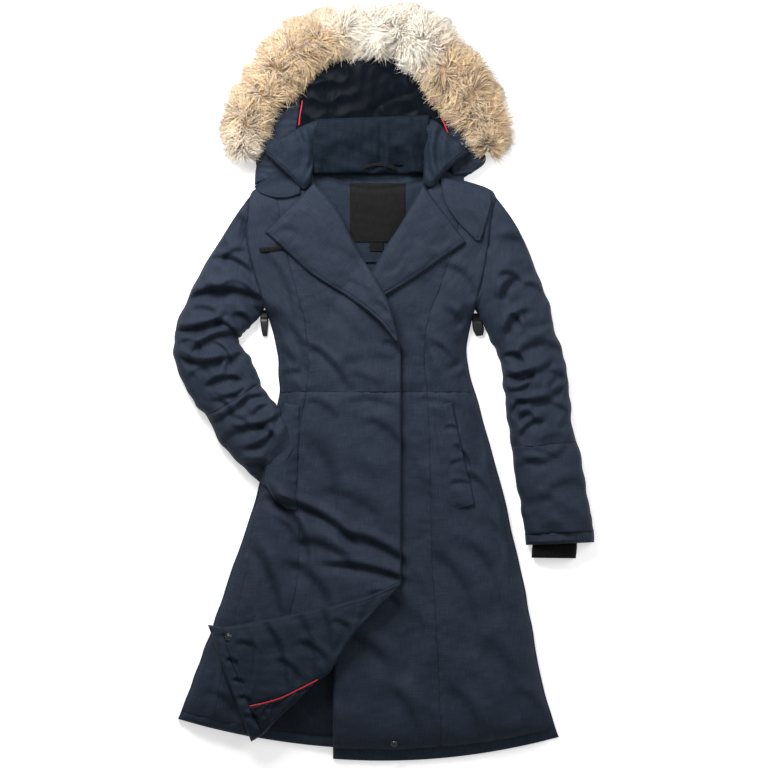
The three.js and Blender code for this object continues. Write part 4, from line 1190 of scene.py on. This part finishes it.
def lining_high(x, y, u, v):
    """Loft of the lining, plus puckers that fan out from the back of the neck: a sum of waves in
    the angle about that point and in the distance from it."""
    edge = np.minimum(np.minimum(v, 1 - v), (1 - u) * 1.5)
    angle = np.arctan2(y - 400, x + 20)
    far = np.hypot(y - 400, x + 20)
    fan = 3.4 * np.sqrt(np.abs(np.sin(angle * 4.5 + 1.6 * rolling(x, y, 110, 104))) + 0.02) * ease(far / 60)
    small = 2.2 * crumple(x, y, 54, 102) + 0.4 * rolling(x, y, 26, 103)
    return 15 + 14 * (0.4 + 0.6 * dome(edge, 0.25)) + fan + small


def band_high(x, y, u, v):
    """A band's upper face: 15 + 11 (0.4 + 0.6 dome from its edge), plus small puckers."""
    edge = np.minimum(np.minimum(v, 1 - v), (1 - u) * 1.5)
    puckers = 1.1 * rolling(x, y * 3, 34, 105) + 0.7 * rolling(x, y, 24, 106)
    return 15 + 11 * (0.4 + 0.6 * dome(edge, 0.25)) + puckers


def level_low(level):
    """An under face at one height."""
    return lambda x, y, u, v: level + 0 * x


shape = slab(ruled_plan(HOOD), ground, hood_high, (EDGE, EDGE, EDGE, EDGE), (0, 0, 0, 0), step=9, seed=107)
padded("hood_shell_cloth", "hood_shell", shape, SHELL)
shape = slab(
    ruled_plan(HOOD_LINING), level_low(8), lining_high, (4, 5, SEAM, SEAM), (0, 0, 3, 3), step=3.2, seed=108,
)
padded("hood_lining_satin", "hood_lining", shape, HOOD_SATIN)
shape = slab(
    ruled_plan(BAND_RIGHT), level_low(1), band_high, (6, 5, 7, SEAM), (0, 0, 0, 3), step=2.6, seed=109,
    stitch=(12, 1.2, (2,)),
)
padded("hood_band_right_cloth", "hood_band_right", shape, SHELL)
shape = slab(
    ruled_plan(BAND_LEFT), level_low(1), band_high, (6, 5, SEAM, 7), (0, 0, 3, 0), step=2.6, seed=110,
    stitch=(12, 1.2, (3,)),
)
padded("hood_band_left_cloth", "hood_band_left", shape, SHELL)


# %% [markdown]
# ## The fur ruff
# The ruff is long-pile fur on a strip zipped to the hood's edge. A hair system would vanish in the
# export, so the hairs are meshes: each is a thin tapered prism with three sides, bent along its
# length, and thousands of them are joined in one piece. They stand on a low bolster and lie
# outwards, tangled in locks, with a pale crown and tan sides.

# %% Fur finish
def fur_finish():
    """Long-pile fur: the colour of each hair is stored on the mesh; sheen softens its tips."""
    material, tree, shader = surface("long_pile_fur", {
        "Roughness": 0.7, "Sheen Weight": 0.5, "Sheen Roughness": 0.6, "Specular IOR Level": 0.3,
    })
    hair = node(tree, "ShaderNodeAttribute", {"attribute_name": "hair_colour"})
    place = node(tree, "ShaderNodeTexCoord")
    mottle = node(
        tree, "ShaderNodeTexNoise", inputs={"Scale": 60.0, "Detail": 3.0},
        links={"Vector": (place, "Object")},
    )
    limits = {"From Min": 0.3, "From Max": 0.7, "To Min": 0.84, "To Max": 1.12}
    shade = node(tree, "ShaderNodeMapRange", inputs=limits, links={"Value": (mottle, "Fac")})
    tint = node(
        tree, "ShaderNodeVectorMath", {"operation": "SCALE"},
        links={"Vector": (hair, "Color"), "Scale": (shade, "Result")},
    )
    tree.links.new(tint.outputs["Vector"], shader.inputs["Base Color"])
    return material


FUR = fur_finish()
RUFF = [
    (-276, 416, -228, 396), (-288, 452, -203, 445), (-283, 499, -173, 492), (-252, 562, -139, 520),
    (-216, 616, -113, 545), (-167, 652, -92, 563), (-113, 672, -56, 568), (-59, 681, -31, 567),
    (4, 682, -9, 570), (63, 679, 16, 566), (112, 659, 34, 547), (149, 616, 56, 520),
    (189, 578, 76, 490), (216, 524, 96, 468), (228, 466, 131, 460), (221, 432, 157, 441),
    (200, 410, 178, 414),
]
ruff_plan = ruled_plan(RUFF)
FUR_HEIGHT, CORE, FUR_REACH = 78, 0.66, 82
FUR_COLOURS = ("#e4c496", "#f2e6d2", "#fff9ef", "#b8905f", "#7e6041")
TAN, CREAM, WHITE, SHADOW, GUARD = (np.array(linear(c)[:3]) for c in FUR_COLOURS)


def core_point(u, v):
    """The bolster under the hairs: a half ellipse across the strip, 0.66 of the fur's height."""
    inner = 0.16 + 0.68 * v
    x, y = ruff_plan(u, inner)
    across = np.sqrt(np.maximum(0, 1 - (2 * v - 1) ** 2))
    ends = dome(np.minimum(u, 1 - u), 0.06)
    z = 8 + (CORE * FUR_HEIGHT - 8) * across * (0.5 + 0.5 * ends) * (1 + 0.16 * rolling(x, y, 62, 128))
    return np.stack([x, y, z], -1)


def crown_share(u):
    """1 along the ruff's pale crown, 0 along its sides."""
    return ease((u - 0.33) / 0.1) * (1 - ease((u - 0.62) / 0.1))


def fur_tone(u, v, random):
    """Colour of each hair by its place: white at the crown, cream at the right end, tan between."""
    crown = np.maximum(crown_share(u), 0.7 * (1 - ease(u / 0.12)))
    crown = np.clip(crown + random.normal(0, 0.16, u.shape), 0, 1)[..., None]
    lift = random.uniform(0, 1, u.shape)[..., None]
    patchy = 1 + 0.22 * rolling(u * 900, v * 120, 70, 129)[..., None]
    tone = (TAN * (0.74 + 0.46 * lift) * patchy) * (1 - crown) + (CREAM * (1 - lift) + WHITE * lift) * crown
    guard = (random.uniform(0, 1, u.shape) < 0.11 * (1 - 0.8 * crown[..., 0]))[..., None]
    return np.where(guard, GUARD, tone)


# %% [markdown]
# Each stretch of the ruff is a bolster, which hides the strip, and the hairs that stand on it. The
# hairs' headings come from three directions at the root: out of the bolster, across the strip and
# along it. Slow hills mix the three, so that neighbours fall together in locks.

# %% Bolster and hairs
def unit(rows):
    """Vectors scaled to length 1."""
    return rows / (np.linalg.norm(rows, axis=1, keepdims=True) + 1e-9)


def bolster(start, end, seed):
    """The core of one stretch, as points, triangles and colours: core_point with small hills, over
    a level underside."""
    u, v = np.meshgrid(np.linspace(start, end, 60), np.linspace(0, 1, 26), indexing="ij")
    x, y, z = np.moveaxis(core_point(u, v), -1, 0)
    top = np.maximum(z + 2.5 * rolling(x, y, 24, seed), 3)
    points, quads, place = close_grid(x, y, top, np.full_like(x, 2.0), u, v)
    crown = crown_share(place[:, 1:])
    triangles = np.concatenate([quads[:, [0, 1, 2]], quads[:, [0, 2, 3]]])
    # The bolster's colour is painted shade: 0.9 of the shadow tan at the sides and 0.75 of the cream under
    # the crown, for the shade deep in the pile.
    return points, triangles, SHADOW * 0.9 * (1 - crown) + CREAM * 0.75 * crown


def roots(u, v):
    """Places on the bolster, with unit vectors out of it, across it and along it at each."""
    step = 0.004
    along = core_point(np.minimum(u + step, 1), v) - core_point(np.maximum(u - step, 0), v)
    over = core_point(u, np.minimum(v + step, 1)) - core_point(u, np.maximum(v - step, 0))
    out = unit(np.cross(along, over))
    out *= np.sign(out[:, 2:3] + 1e-9)
    return core_point(u, v), out, unit(over) * np.sign(v - 0.5)[:, None], unit(along)


RINGS = np.array([0.0, 0.35, 0.7, 1.0])  # places along a hair: three rings and the tip
FALL = np.array([0, 0, -0.35])
LONG_SHARE, LONGER = 0.12, 0.25  # this share of the hairs is this much longer


def comb(u, v, random):
    """Headings and centrelines of hairs: P(t) = root + L t (heading (1 - 0.3 t) + 0.9 curl t + fall t^2)."""
    count = len(u)
    root, out, across, along = roots(u, v)
    lock = rolling(root[:, 0], root[:, 1], 64, 126)[:, None]
    fine = rolling(root[:, 0], root[:, 1], 24, 127)[:, None]
    lean = 1.25 * np.abs(2 * v - 1)[:, None] + 0.5 * fine + 0.15 * random.normal(0, 1, (count, 1))
    heading = out * 0.55 + across * lean + along * (1.0 * lock + 0.7 * fine)
    heading = unit(heading + random.normal(0, 0.13, (count, 3)))
    curl = along * (0.45 * lock + 0.16 * random.normal(0, 1, (count, 1)))
    curl = curl + across * (0.3 * fine + 0.14 * random.normal(0, 1, (count, 1)))
    length = random.uniform(30, 54, count) * (1 + LONGER * (random.uniform(0, 1, count) < LONG_SHARE))
    length = (length * (0.75 + 0.25 * dome(np.minimum(u, 1 - u), 0.05)))[:, None]
    line = [root + length * t * (heading * (1 - 0.3 * t) + curl * t * 0.9 + FALL * t * t) for t in RINGS]
    return heading, line


def prisms(heading, line, width):
    """Ten points a hair: three rings of three about its line, of radius width (1 - 0.75 t), and its
    tip."""
    side = unit(np.cross(heading, [0.31, 0.27, 0.91]))
    other = np.cross(heading, side)
    points = []
    for t, centre in zip(RINGS[:3], line[:3]):
        for turn in TAU * np.arange(3) / 3:
            points.append(centre + width * (1 - 0.75 * t) * (side * np.cos(turn) + other * np.sin(turn)))
    points.append(line[3])
    hair = np.stack(points, 1)
    hair[..., 2] = np.clip(hair[..., 2], 1.2, FUR_REACH)
    return hair


def one_hair():
    """Triangles of one hair: two bands between its rings, three at its tip and one at its foot."""
    faces = []
    for ring in range(2):
        for k in range(3):
            a, b = ring * 3 + k, ring * 3 + (k + 1) % 3
            faces += [(a, b, b + 3), (a, b + 3, a + 3)]
    return np.array(faces + [(6, 7, 9), (7, 8, 9), (8, 6, 9), (2, 1, 0)])


FOOT_TO_TIP = np.array([0.6] * 3 + [0.92] * 3 + [1.08] * 3 + [1.18])  # brightness of a hair's points


def fur_piece(start, end, count, seed):
    """Bolster and hairs of one stretch of the ruff, as points, triangles and colours. The roots are
    spread evenly over the half ellipse."""
    random = np.random.default_rng(seed)
    core, core_faces, core_colour = bolster(start, end, seed)
    u = random.uniform(start, end, count)
    v = 0.5 - 0.5 * np.cos(np.pi * random.uniform(0.02, 0.98, count))
    heading, line = comb(u, v, random)
    hair = prisms(heading, line, random.uniform(0.41, 0.78, count)[:, None])
    points_each = hair.shape[1]
    faces = (one_hair()[None] + points_each * np.arange(count)[:, None, None]).reshape(-1, 3)
    tone = fur_tone(u, v, random)
    colour = np.clip(tone[:, None] * FOOT_TO_TIP[None, :, None], 0, 1).reshape(-1, 3)
    return (
        np.concatenate([core, hair.reshape(-1, 3)]),
        np.concatenate([core_faces, faces + len(core)]),
        np.concatenate([core_colour, colour]),
    )


def ruff(name, node_name, start, end, count, seed):
    """One stretch of the ruff as an object, with its colours stored on its points."""
    points, faces, colour = fur_piece(start, end, count, seed)
    piece = trim(name, node_name, (points, faces, None), FUR)
    stored = piece.data.color_attributes.new("hair_colour", "FLOAT_COLOR", "POINT")
    stored.data.foreach_set("color", np.column_stack([colour, np.ones(len(colour))]).ravel())
    print(name, len(faces), "triangles")


HAIRS = 8200
ruff("fur_ruff_right_pile", "fur_ruff_right", 0.0, 0.335, HAIRS, 121)
ruff("fur_ruff_top_pile", "fur_ruff_top", 0.325, 0.615, HAIRS, 122)
ruff("fur_ruff_left_pile", "fur_ruff_left", 0.605, 1.0, HAIRS, 123)


# %% [markdown]
# ## The collar
# A padded stand is gathered round the neck, with two leaves spread over the shoulders. The stand is
# drawn up by its lining, so its inside is deeply puckered. A buttoned tab and a storm flap lie at
# its ends.

# %% Collar
STAND = [(-128, 370, 76, 372), (-137, 398, 80, 401), (-136, 434, 84, 437), (-121, 470, 84, 477)]
LEAF_RIGHT = [(-114, 470, -129, 352), (-146, 457, -144, 341), (-175, 441, -167, 364), (-219, 427, -211, 408)]
LEAF_LEFT = [(75, 474, 72, 352), (99, 463, 88, 346), (121, 441, 115, 378), (151, 418, 155, 410)]
TAB = [
    (-231, 350, -229, 345), (-213, 362, -217, 335), (-191, 379, -194, 328), (-167, 384, -171, 328),
    (-146, 379, -148, 335),
]
STORM_FLAP = [
    (100, 368, 190, 343), (104, 353, 195, 324), (111, 319, 191, 304), (133, 286, 184, 279),
    (157, 261, 178, 259), (167, 250, 174, 250),
]


def stand_high(x, y, u, v):
    """The stand's inside: it rises 16 mm from the neck seam up, with 7 mm of loft, deep folds along
    the seam, puckers, and a seam pressed in at the centre back."""
    edge = np.minimum(np.minimum(v, 1 - v), np.minimum(u * 1.5, (1 - u) * 1.5))
    low_folds = 3.6 * np.sin(TAU * v * 3.7 + 3.4 * rolling(x, y, 80, 131)) * (1 - ease(u / 0.9))
    puckers = 3.6 * crumple(x * 1.5, y * 0.7, 66, 132) + 1.4 * rolling(x * 1.5, y, 26, 133)
    middle_seam = -3.6 * np.exp(-(((x + 4) / 6) ** 2)) * ease(u * 2)
    return 28 + 16 * ease(u / 0.85) + 7 * dome(edge, 0.3) + low_folds + puckers + middle_seam


LEAF_CREASES = [
    (-128, 462, -136, 372, 8, 8, 6), (-150, 448, -148, 380, 6, 8, 4), (88, 462, 84, 372, -8, 8, 6),
    (106, 448, 102, 384, -6, 8, 4), (-190, 432, -186, 396, 3, 8, 3), (130, 432, 126, 396, -3, 8, 3),
]


def leaf_high(x, y, u, v):
    """A leaf's upper face: 40 mm up, with 14 mm of loft from its edge, hills and creases."""
    edge = np.minimum(np.minimum(v, 1 - v), np.minimum(u * 1.5, (1 - u) * 1.5))
    hills = 1.6 * rolling(x, y, 52, 134) + 0.8 * rolling(x, y, 22, 135)
    return 40 + 14 * dome(edge, 0.25) + hills + 3.4 / 3 * creases(x, y, LEAF_CREASES)


shape = slab(
    ruled_plan(STAND), level_low(22), stand_high, (5, 6, SEAM, SEAM), (0, 0, 3, 3), step=2.8, seed=136,
)
# The stand's colour is painted shade: the darkest copy of the shell, for the hollow round the neck.
padded("collar_stand_cloth", "collar_stand", shape, COLLAR_PAINTED_SHADE)
# The leaves carry painted shade: the darker copy of the shell.
for name, table, seed in (("collar_leaf_right", LEAF_RIGHT, 137), ("collar_leaf_left", LEAF_LEFT, 138)):
    shape = slab(
        ruled_plan(table), level_low(26), leaf_high, (SEAM, 7, 7, 7), (3, 0, 0, 0), step=2.8, seed=seed,
        stitch=(8, 1.8, (1, 2, 3)),
    )
    padded(name + "_cloth", name, shape, SHELL_PAINTED_SHADE)


def on_shoulder(x, y, below=0):
    """The front's top, read no higher than a line this far below the shoulder."""
    return front_top(x, np.minimum(y, shoulder(x) - below))


def tab_low(x, y, u, v):
    """The tab's under face, at least 6 mm up."""
    return np.maximum(6, on_shoulder(x, y) - 3)


def tab_high(x, y, u, v):
    """The tab's upper face, at least 27 mm up."""
    return np.maximum(27, on_shoulder(x, y) + 6) + 0.5 * rolling(x, y, 30, 139)


shape = slab(
    ruled_plan(TAB), tab_low, tab_high, (5, 3, 4, 4), step=2, seed=140, stitch=(5, 0.9, (0, 2, 3)),
)
# The tab carries painted shade: the darker copy of the shell.
padded("collar_tab_cloth", "collar_tab", shape, SHELL_PAINTED_SHADE)


def storm_low(x, y, u, v):
    """The storm flap's under face, 3 mm inside the front."""
    return on_shoulder(x, y) - 3


def storm_high(x, y, u, v):
    """The storm flap's upper face: it follows the front and takes 0.6 of its wrinkles."""
    return on_shoulder(x, y, 8) + 7 + 0.7 * rolling(x, y, 45, 141) + body_wrinkles(x, y) * 0.6


shape = slab(
    ruled_plan(STORM_FLAP), storm_low, storm_high, (5, 4, 4, 4), step=3.2, seed=142,
    stitch=(6, 0.9, (1, 2, 3)),
)
padded("storm_flap_cloth", "storm_flap", shape, SHELL)

# %% [markdown]
# ## Linings that show
# The neck opening shows the shell-cloth neck lining with a plain woven label, and the gap over the
# back's hem shows the satin lining. Each is a thin sheet lying on the back.

# %% Neck lining, skirt lining, label and tag
NECK_LINING = [
    (-128, 374, 88, 374), (-124, 344, 90, 344), (-106, 299, 66, 299), (-84, 254, 38, 254),
    (-55, 212, 12, 212),
]
LINING_LOFT = 3.5


def arc_seam(x, y, centre, squash, radius, width, depth):
    """A curved seam: a trough -depth exp(-((r - radius) / width)^2), r taken on a squashed circle."""
    far = np.hypot((x - centre[0]) * squash, y - centre[1])
    return -depth * np.exp(-(((far - radius) / width) ** 2))


def neck_high(x, y):
    """The neck lining's top: the back's top and its loft, two curved seams, and soft hills."""
    arcs = arc_seam(x, y, (-20, 430), 0.55, 72, 5, 3.4) + arc_seam(x, y, (-14, 440), 0.6, 95, 4, 2.4)
    hills = 0.7 * rolling(x, y, 44, 151) + 0.4 * rolling(x, y, 20, 152)
    return back_top(x, y) + LINING_LOFT + arcs * ease((374 - y) / 12) + hills


def over_back(rise):
    """A height this far over the back's top."""
    return lambda x, y, u, v: back_top(x, y) + rise


def skirt_lining_high(x, y, u, v):
    """The skirt lining's top: the back's top and 2.5 mm, with soft hills."""
    return back_top(x, y) + 2.5 + 1.2 * rolling(x, y, 48, 155) + 0.6 * rolling(x, y, 20, 156)


shape = slab(
    ruled_plan(NECK_LINING), over_back(-2), lambda x, y, u, v: neck_high(x, y), (2, 2, 2, 2), step=3.4,
    seed=153,
)
# The neck lining carries painted shade: the darker copy of the shell, for the hollow of the neck opening.
sheet(
    "neck_lining_cloth", "neck_lining", shape, SHELL_PAINTED_SHADE,
)
shape = slab(
    levels_plan(-440, HEM + HEM_BAND + 2, always(-250), always(-30)), over_back(-1), skirt_lining_high,
    (2, 2, 2, 2), step=5, seed=157,
)
sheet(
    "skirt_lining_satin", "skirt_lining", shape, LINING,
)


def patch(corners, thick, step, seed):
    """A thin patch that lies on the neck lining and follows 0.6 of its seams and hills."""
    def low(x, y, u, v):
        return neck_high(x, y) - 0.4

    def high(x, y, u, v):
        return neck_high(x, y) * 0.6 + (back_top(x, y) + LINING_LOFT) * 0.4 + thick
    return slab(ruled_plan(corners), low, high, (1, 1, 1, 1), step=step, seed=seed)


shape = patch([(-59, 355, 40, 355), (-59, 302, 40, 302), (-59, 249, 40, 249)], 1.8, 3, 158)
sheet(
    "neck_label_satin", "neck_label", shape, LABEL,
)
shape = patch([(-24, 248.4, 1, 248.4), (-24, 240, 1, 240), (-24, 232, 1, 232)], 1.6, 1.5, 159)
sheet(
    "size_tag_satin", "size_tag", shape, LABEL,
)

# %% [markdown]
# ## Small trims
# A tape loop for hanging is sewn over the neck seam. A short zip is set in the chest, red piping
# shows at the turned corner and where the ruff joins the hood, and snaps and cord locks finish it.

# %% Trims
LOOP = [(-42, 384, -38, 378), (-26, 389, -23, 383), (-8, 391, -8, 385), (12, 388, 9, 382), (24, 383, 20, 377)]


def loop_rise(u):
    """The loop bows up 4 mm between its two sewn ends."""
    return 37.5 + 4 * np.sin(np.pi * u)


shape = slab(
    ruled_plan(LOOP), lambda x, y, u, v: loop_rise(u) - 3, lambda x, y, u, v: loop_rise(u),
    (1, 1, 1.2, 1.2), step=1.5, seed=161,
)
trim("hanger_loop_tape", "hanger_loop", shape, TAPE)
ZIP = [(-213, 237, -211, 228), (-196, 241, -194, 232), (-176, 246, -174, 237)]


def zip_high(x, y, u, v):
    """A tape with two rows of coil teeth in the middle: 1.1 mm ridges, 2.4 mm apart."""
    teeth = 1.1 * np.exp(-(((v - 0.5) / 0.22) ** 2)) * (0.6 + 0.4 * np.cos(TAU * u * 16))
    return front_top(x, y) + 1.2 + teeth


def over_front(rise):
    """A height this far over the front's top."""
    return lambda x, y, u, v: front_top(x, y) + rise


shape = slab(ruled_plan(ZIP), over_front(-2), zip_high, (1, 1, 1, 1), step=0.7, seed=162)
trim("chest_zip_tape", "chest_zip", shape, TAPE)
PULL = [(-222, 238, -220, 230), (-213, 239, -211, 230.5), (-205, 240, -203, 231)]
shape = slab(ruled_plan(PULL), over_front(-1), over_front(4.6), (2, 2, 2, 2), step=0.8, seed=163)
trim("chest_zip_pull_cord", "chest_zip_pull", shape, TAPE)


def round_cord(points, radius, sides=12):
    """A tube along a smooth curve: P(t) + r (side cos a + up sin a), closed at its ends."""
    rows = np.array(points, float)
    table = np.column_stack([np.linspace(0, 1, len(rows)), rows])[::-1]
    t = np.linspace(0, 1, 60)
    line = np.stack([smooth_read(table, i, t) for i in (1, 2, 3)], -1)
    along = np.gradient(line, axis=0)
    along /= np.linalg.norm(along, axis=1, keepdims=True)
    side = np.cross(along, [0, 0, 1])
    side /= np.linalg.norm(side, axis=1, keepdims=True)
    up = np.cross(side, along)
    angle = np.linspace(0, TAU, sides, endpoint=False)
    taper = np.sqrt(np.clip(1 - (2 * t - 1) ** 40, 0.02, 1))[:, None, None]
    sine, cosine = np.sin(angle)[None, :, None], np.cos(angle)[None, :, None]
    ring = line[:, None] + radius * taper * (side[:, None] * cosine + up[:, None] * sine)
    n = len(t)
    index = np.arange(n * sides).reshape(n, sides)
    nxt = np.roll(index, -1, axis=1)
    quads = np.stack([index[:-1], nxt[:-1], nxt[1:], index[1:]], -1).reshape(-1, 4)
    caps = []
    for row, centre, flip in ((0, n * sides, False), (n - 1, n * sides + 1, True)):
        a, b = index[row], nxt[row]
        hub = np.full(sides, centre)
        caps.append(np.stack([b, a, hub] if not flip else [a, b, hub], -1))
    points = np.concatenate([ring.reshape(-1, 3), line[:1], line[-1:]])
    faces = np.concatenate([quads[:, [0, 1, 2]], quads[:, [0, 2, 3]], *caps])
    uv = np.column_stack([np.linspace(0, 60, len(points)), np.zeros(len(points))])
    return points, faces[:, ::-1], uv


flap_line = np.array([(-240, -582), (-210, -575.5), (-180, -566), (-149, -551), (-116, -534)], float)
flap_z = wrap_top(flap_line[:, 0], flap_line[:, 1]) + FLAP_LOFT + 0.8
pipings = (
    ("flap_piping", np.column_stack([flap_line, flap_z]), 1.3),
    ("hood_piping_right", [(-143, 512, 24.5), (-146, 494, 25.1), (-149, 476, 25.1), (-151, 458, 24.5)], 1.4),
    ("hood_piping_left", [(106, 470, 28.5), (110, 462, 28.9), (113, 454, 28.9), (117, 444, 28.5)], 1.4),
)
for name, route, radius in pipings:
    trim(name + "_cord", name, round_cord(route, radius), PIPING)


def turned(x, y, z, profile, sides=40):
    """A profile (radius, height) spun about an upright axis."""
    rows = np.array(profile, float)
    angle = np.linspace(0, TAU, sides, endpoint=False)
    radius, height = rows[:, 0, None], rows[:, 1, None]
    ring = np.stack([x + radius * np.cos(angle), y + radius * np.sin(angle), z + height + 0 * angle], -1)
    n = len(rows)
    index = np.arange(n * sides).reshape(n, sides)
    nxt = np.roll(index, -1, axis=1)
    quads = np.stack([index[:-1], nxt[:-1], nxt[1:], index[1:]], -1).reshape(-1, 4)
    foot, crown = n * sides, n * sides + 1
    caps = [
        np.stack([nxt[0], index[0], np.full(sides, foot)], -1),
        np.stack([index[-1], nxt[-1], np.full(sides, crown)], -1),
    ]
    points = np.concatenate([ring.reshape(-1, 3), [[x, y, z + rows[0, 1]]], [[x, y, z + rows[-1, 1]]]])
    return points, np.concatenate([quads[:, [0, 1, 2]], quads[:, [0, 2, 3]], *caps]), None


SNAP_CAP = [
    (6.3, 0), (6.5, 1.5), (6.5, 3.4), (6.2, 4.1), (5.6, 4.4), (4.9, 4.1), (4.4, 3.9), (3.6, 4.5), (2.2, 5.1),
    (0.8, 5.3),
]


def height_at(surface_height, x, y):
    """A height read at one place."""
    return surface_height(np.array([float(x)]), np.array([float(y)]))[0]


snaps = (
    ("flap_snap", -276, -458, height_at(wrap_top, -276, -458) + FLAP_LOFT * 0.8),
    ("hem_snap", 20, -650, height_at(front_top, 20, -650) - 2),
    ("hood_snap_upper", 148, 452, 21.5),
    ("hood_snap_lower", 144, 423, 22.5),
)
for name, x, y, z in snaps:
    trim(name + "_cap", name, turned(x, y, z, SNAP_CAP), GUNMETAL)
LOCKS = (
    ("right_cord_lock", [
        (-219, 128, -207, 128), (-221, 112, -206, 112), (-219, 92, -207, 92), (-216, 80, -208, 80),
    ]),
    ("left_cord_lock", [
        (160, 122, 173, 122), (160, 108, 178, 108), (162, 92, 182, 94), (168, 80, 180, 82),
    ]),
)


def lock_high(x, y, u, v):
    """A moulded barrel: 7 + 3 sin(pi u), with a groove where the button meets it."""
    return 7 + 3 * np.sin(np.pi * u) - 1.1 * np.exp(-(((u - 0.35) / 0.04) ** 2))


for name, rows in LOCKS:
    shape = slab(ruled_plan(rows), ground, lock_high, (2.5, 2.5, 2.5, 2.5), step=1, seed=171)
    trim(name + "_barrel", name, shape, NYLON)
print(len(PADDED), "padded pieces,", len(SHEETS), "sheets")

# %% [markdown]
# ## Floor, light and camera
# The coat lies on a plain white floor and is seen from straight above. A large soft lamp over the
# hood end lights it, a weaker one fills, and the floor shows white to the camera while it keeps a
# faint contact shadow.

# %% Studio
scene = bpy.context.scene
scene.view_settings.view_transform = "Standard"
FLOOR_GLOW, FLOOR_REACH, FLOOR_LEVEL, WORLD_LIGHT = 0.48, 6.0, -0.0005, 0.31


def white_floor():
    """A white matt floor that also glows to camera and mirror rays, so it renders near white."""
    material, tree, shader = surface("white_paper_floor", {"Roughness": 0.95, "Specular IOR Level": 0.1})
    shader.inputs["Base Color"].default_value = linear("#f4f4f4")
    path = node(tree, "ShaderNodeLightPath")
    either = {"operation": "MAXIMUM"}
    seen = node(
        tree, "ShaderNodeMath", either, links={0: (path, "Is Camera Ray"), 1: (path, "Is Glossy Ray")},
    )
    any_seen = node(tree, "ShaderNodeMath", either, links={0: (seen, 0), 1: (path, "Is Transmission Ray")})
    glow = node(tree, "ShaderNodeMath", {"operation": "MULTIPLY"}, {1: FLOOR_GLOW}, {0: (any_seen, 0)})
    shader.inputs["Emission Color"].default_value = linear("#ffffff")
    tree.links.new(glow.outputs[0], shader.inputs["Emission Strength"])
    return material


floor_mesh = bpy.data.meshes.new("floor")
corners = [(FLOOR_REACH * x, FLOOR_REACH * y, FLOOR_LEVEL) for x, y in ((-1, -1), (1, -1), (1, 1), (-1, 1))]
floor_mesh.from_pydata(corners, [], [(0, 1, 2, 3)])
floor_mesh.materials.append(white_floor())
floor = bpy.data.objects.new("floor", floor_mesh)
scene.collection.objects.link(floor)
floor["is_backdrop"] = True

world = bpy.data.worlds.new("soft_studio")
world.use_nodes = True
world.node_tree.nodes["Background"].inputs["Color"].default_value = linear("#ffffff")
world.node_tree.nodes["Background"].inputs["Strength"].default_value = WORLD_LIGHT
scene.world = world


def lamp(name, place, aim, size, power):
    """A square soft lamp turned to face a point."""
    light = bpy.data.lights.new(name, "AREA")
    light.size = size
    light.energy = power
    held = bpy.data.objects.new(name, light)
    held.location = place
    held.rotation_euler = (Vector(aim) - Vector(place)).to_track_quat("-Z", "Y").to_euler()
    scene.collection.objects.link(held)


lamp("overhead_softbox", (-0.5, 1.15, 1.05), (0, 0.25, 0), 0.7, 37)
lamp("side_fill", (1.25, 0.5, 1.15), (0, 0.15, 0), 1.0, 11)

view = bpy.data.cameras.new("camera")
view.sensor_width = 36
SEEN, HEIGHT = 1.3824, 9.0  # metres across the frame at the floor, and the camera's height
view.lens = 36 * HEIGHT / SEEN
view.clip_end = 50
camera = bpy.data.objects.new("camera", view)
camera.location = (0.0013, -0.0048, HEIGHT)
scene.collection.objects.link(camera)
scene.camera = camera

# %% Sizes and finish
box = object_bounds()
print("visual box", box)


def plain(bounds):
    """Two corners as plain lists, for the file."""
    return [[float(c) for c in corner] for corner in bounds]


{"cad": plain(CAD_BOX), "visual": plain(box)}
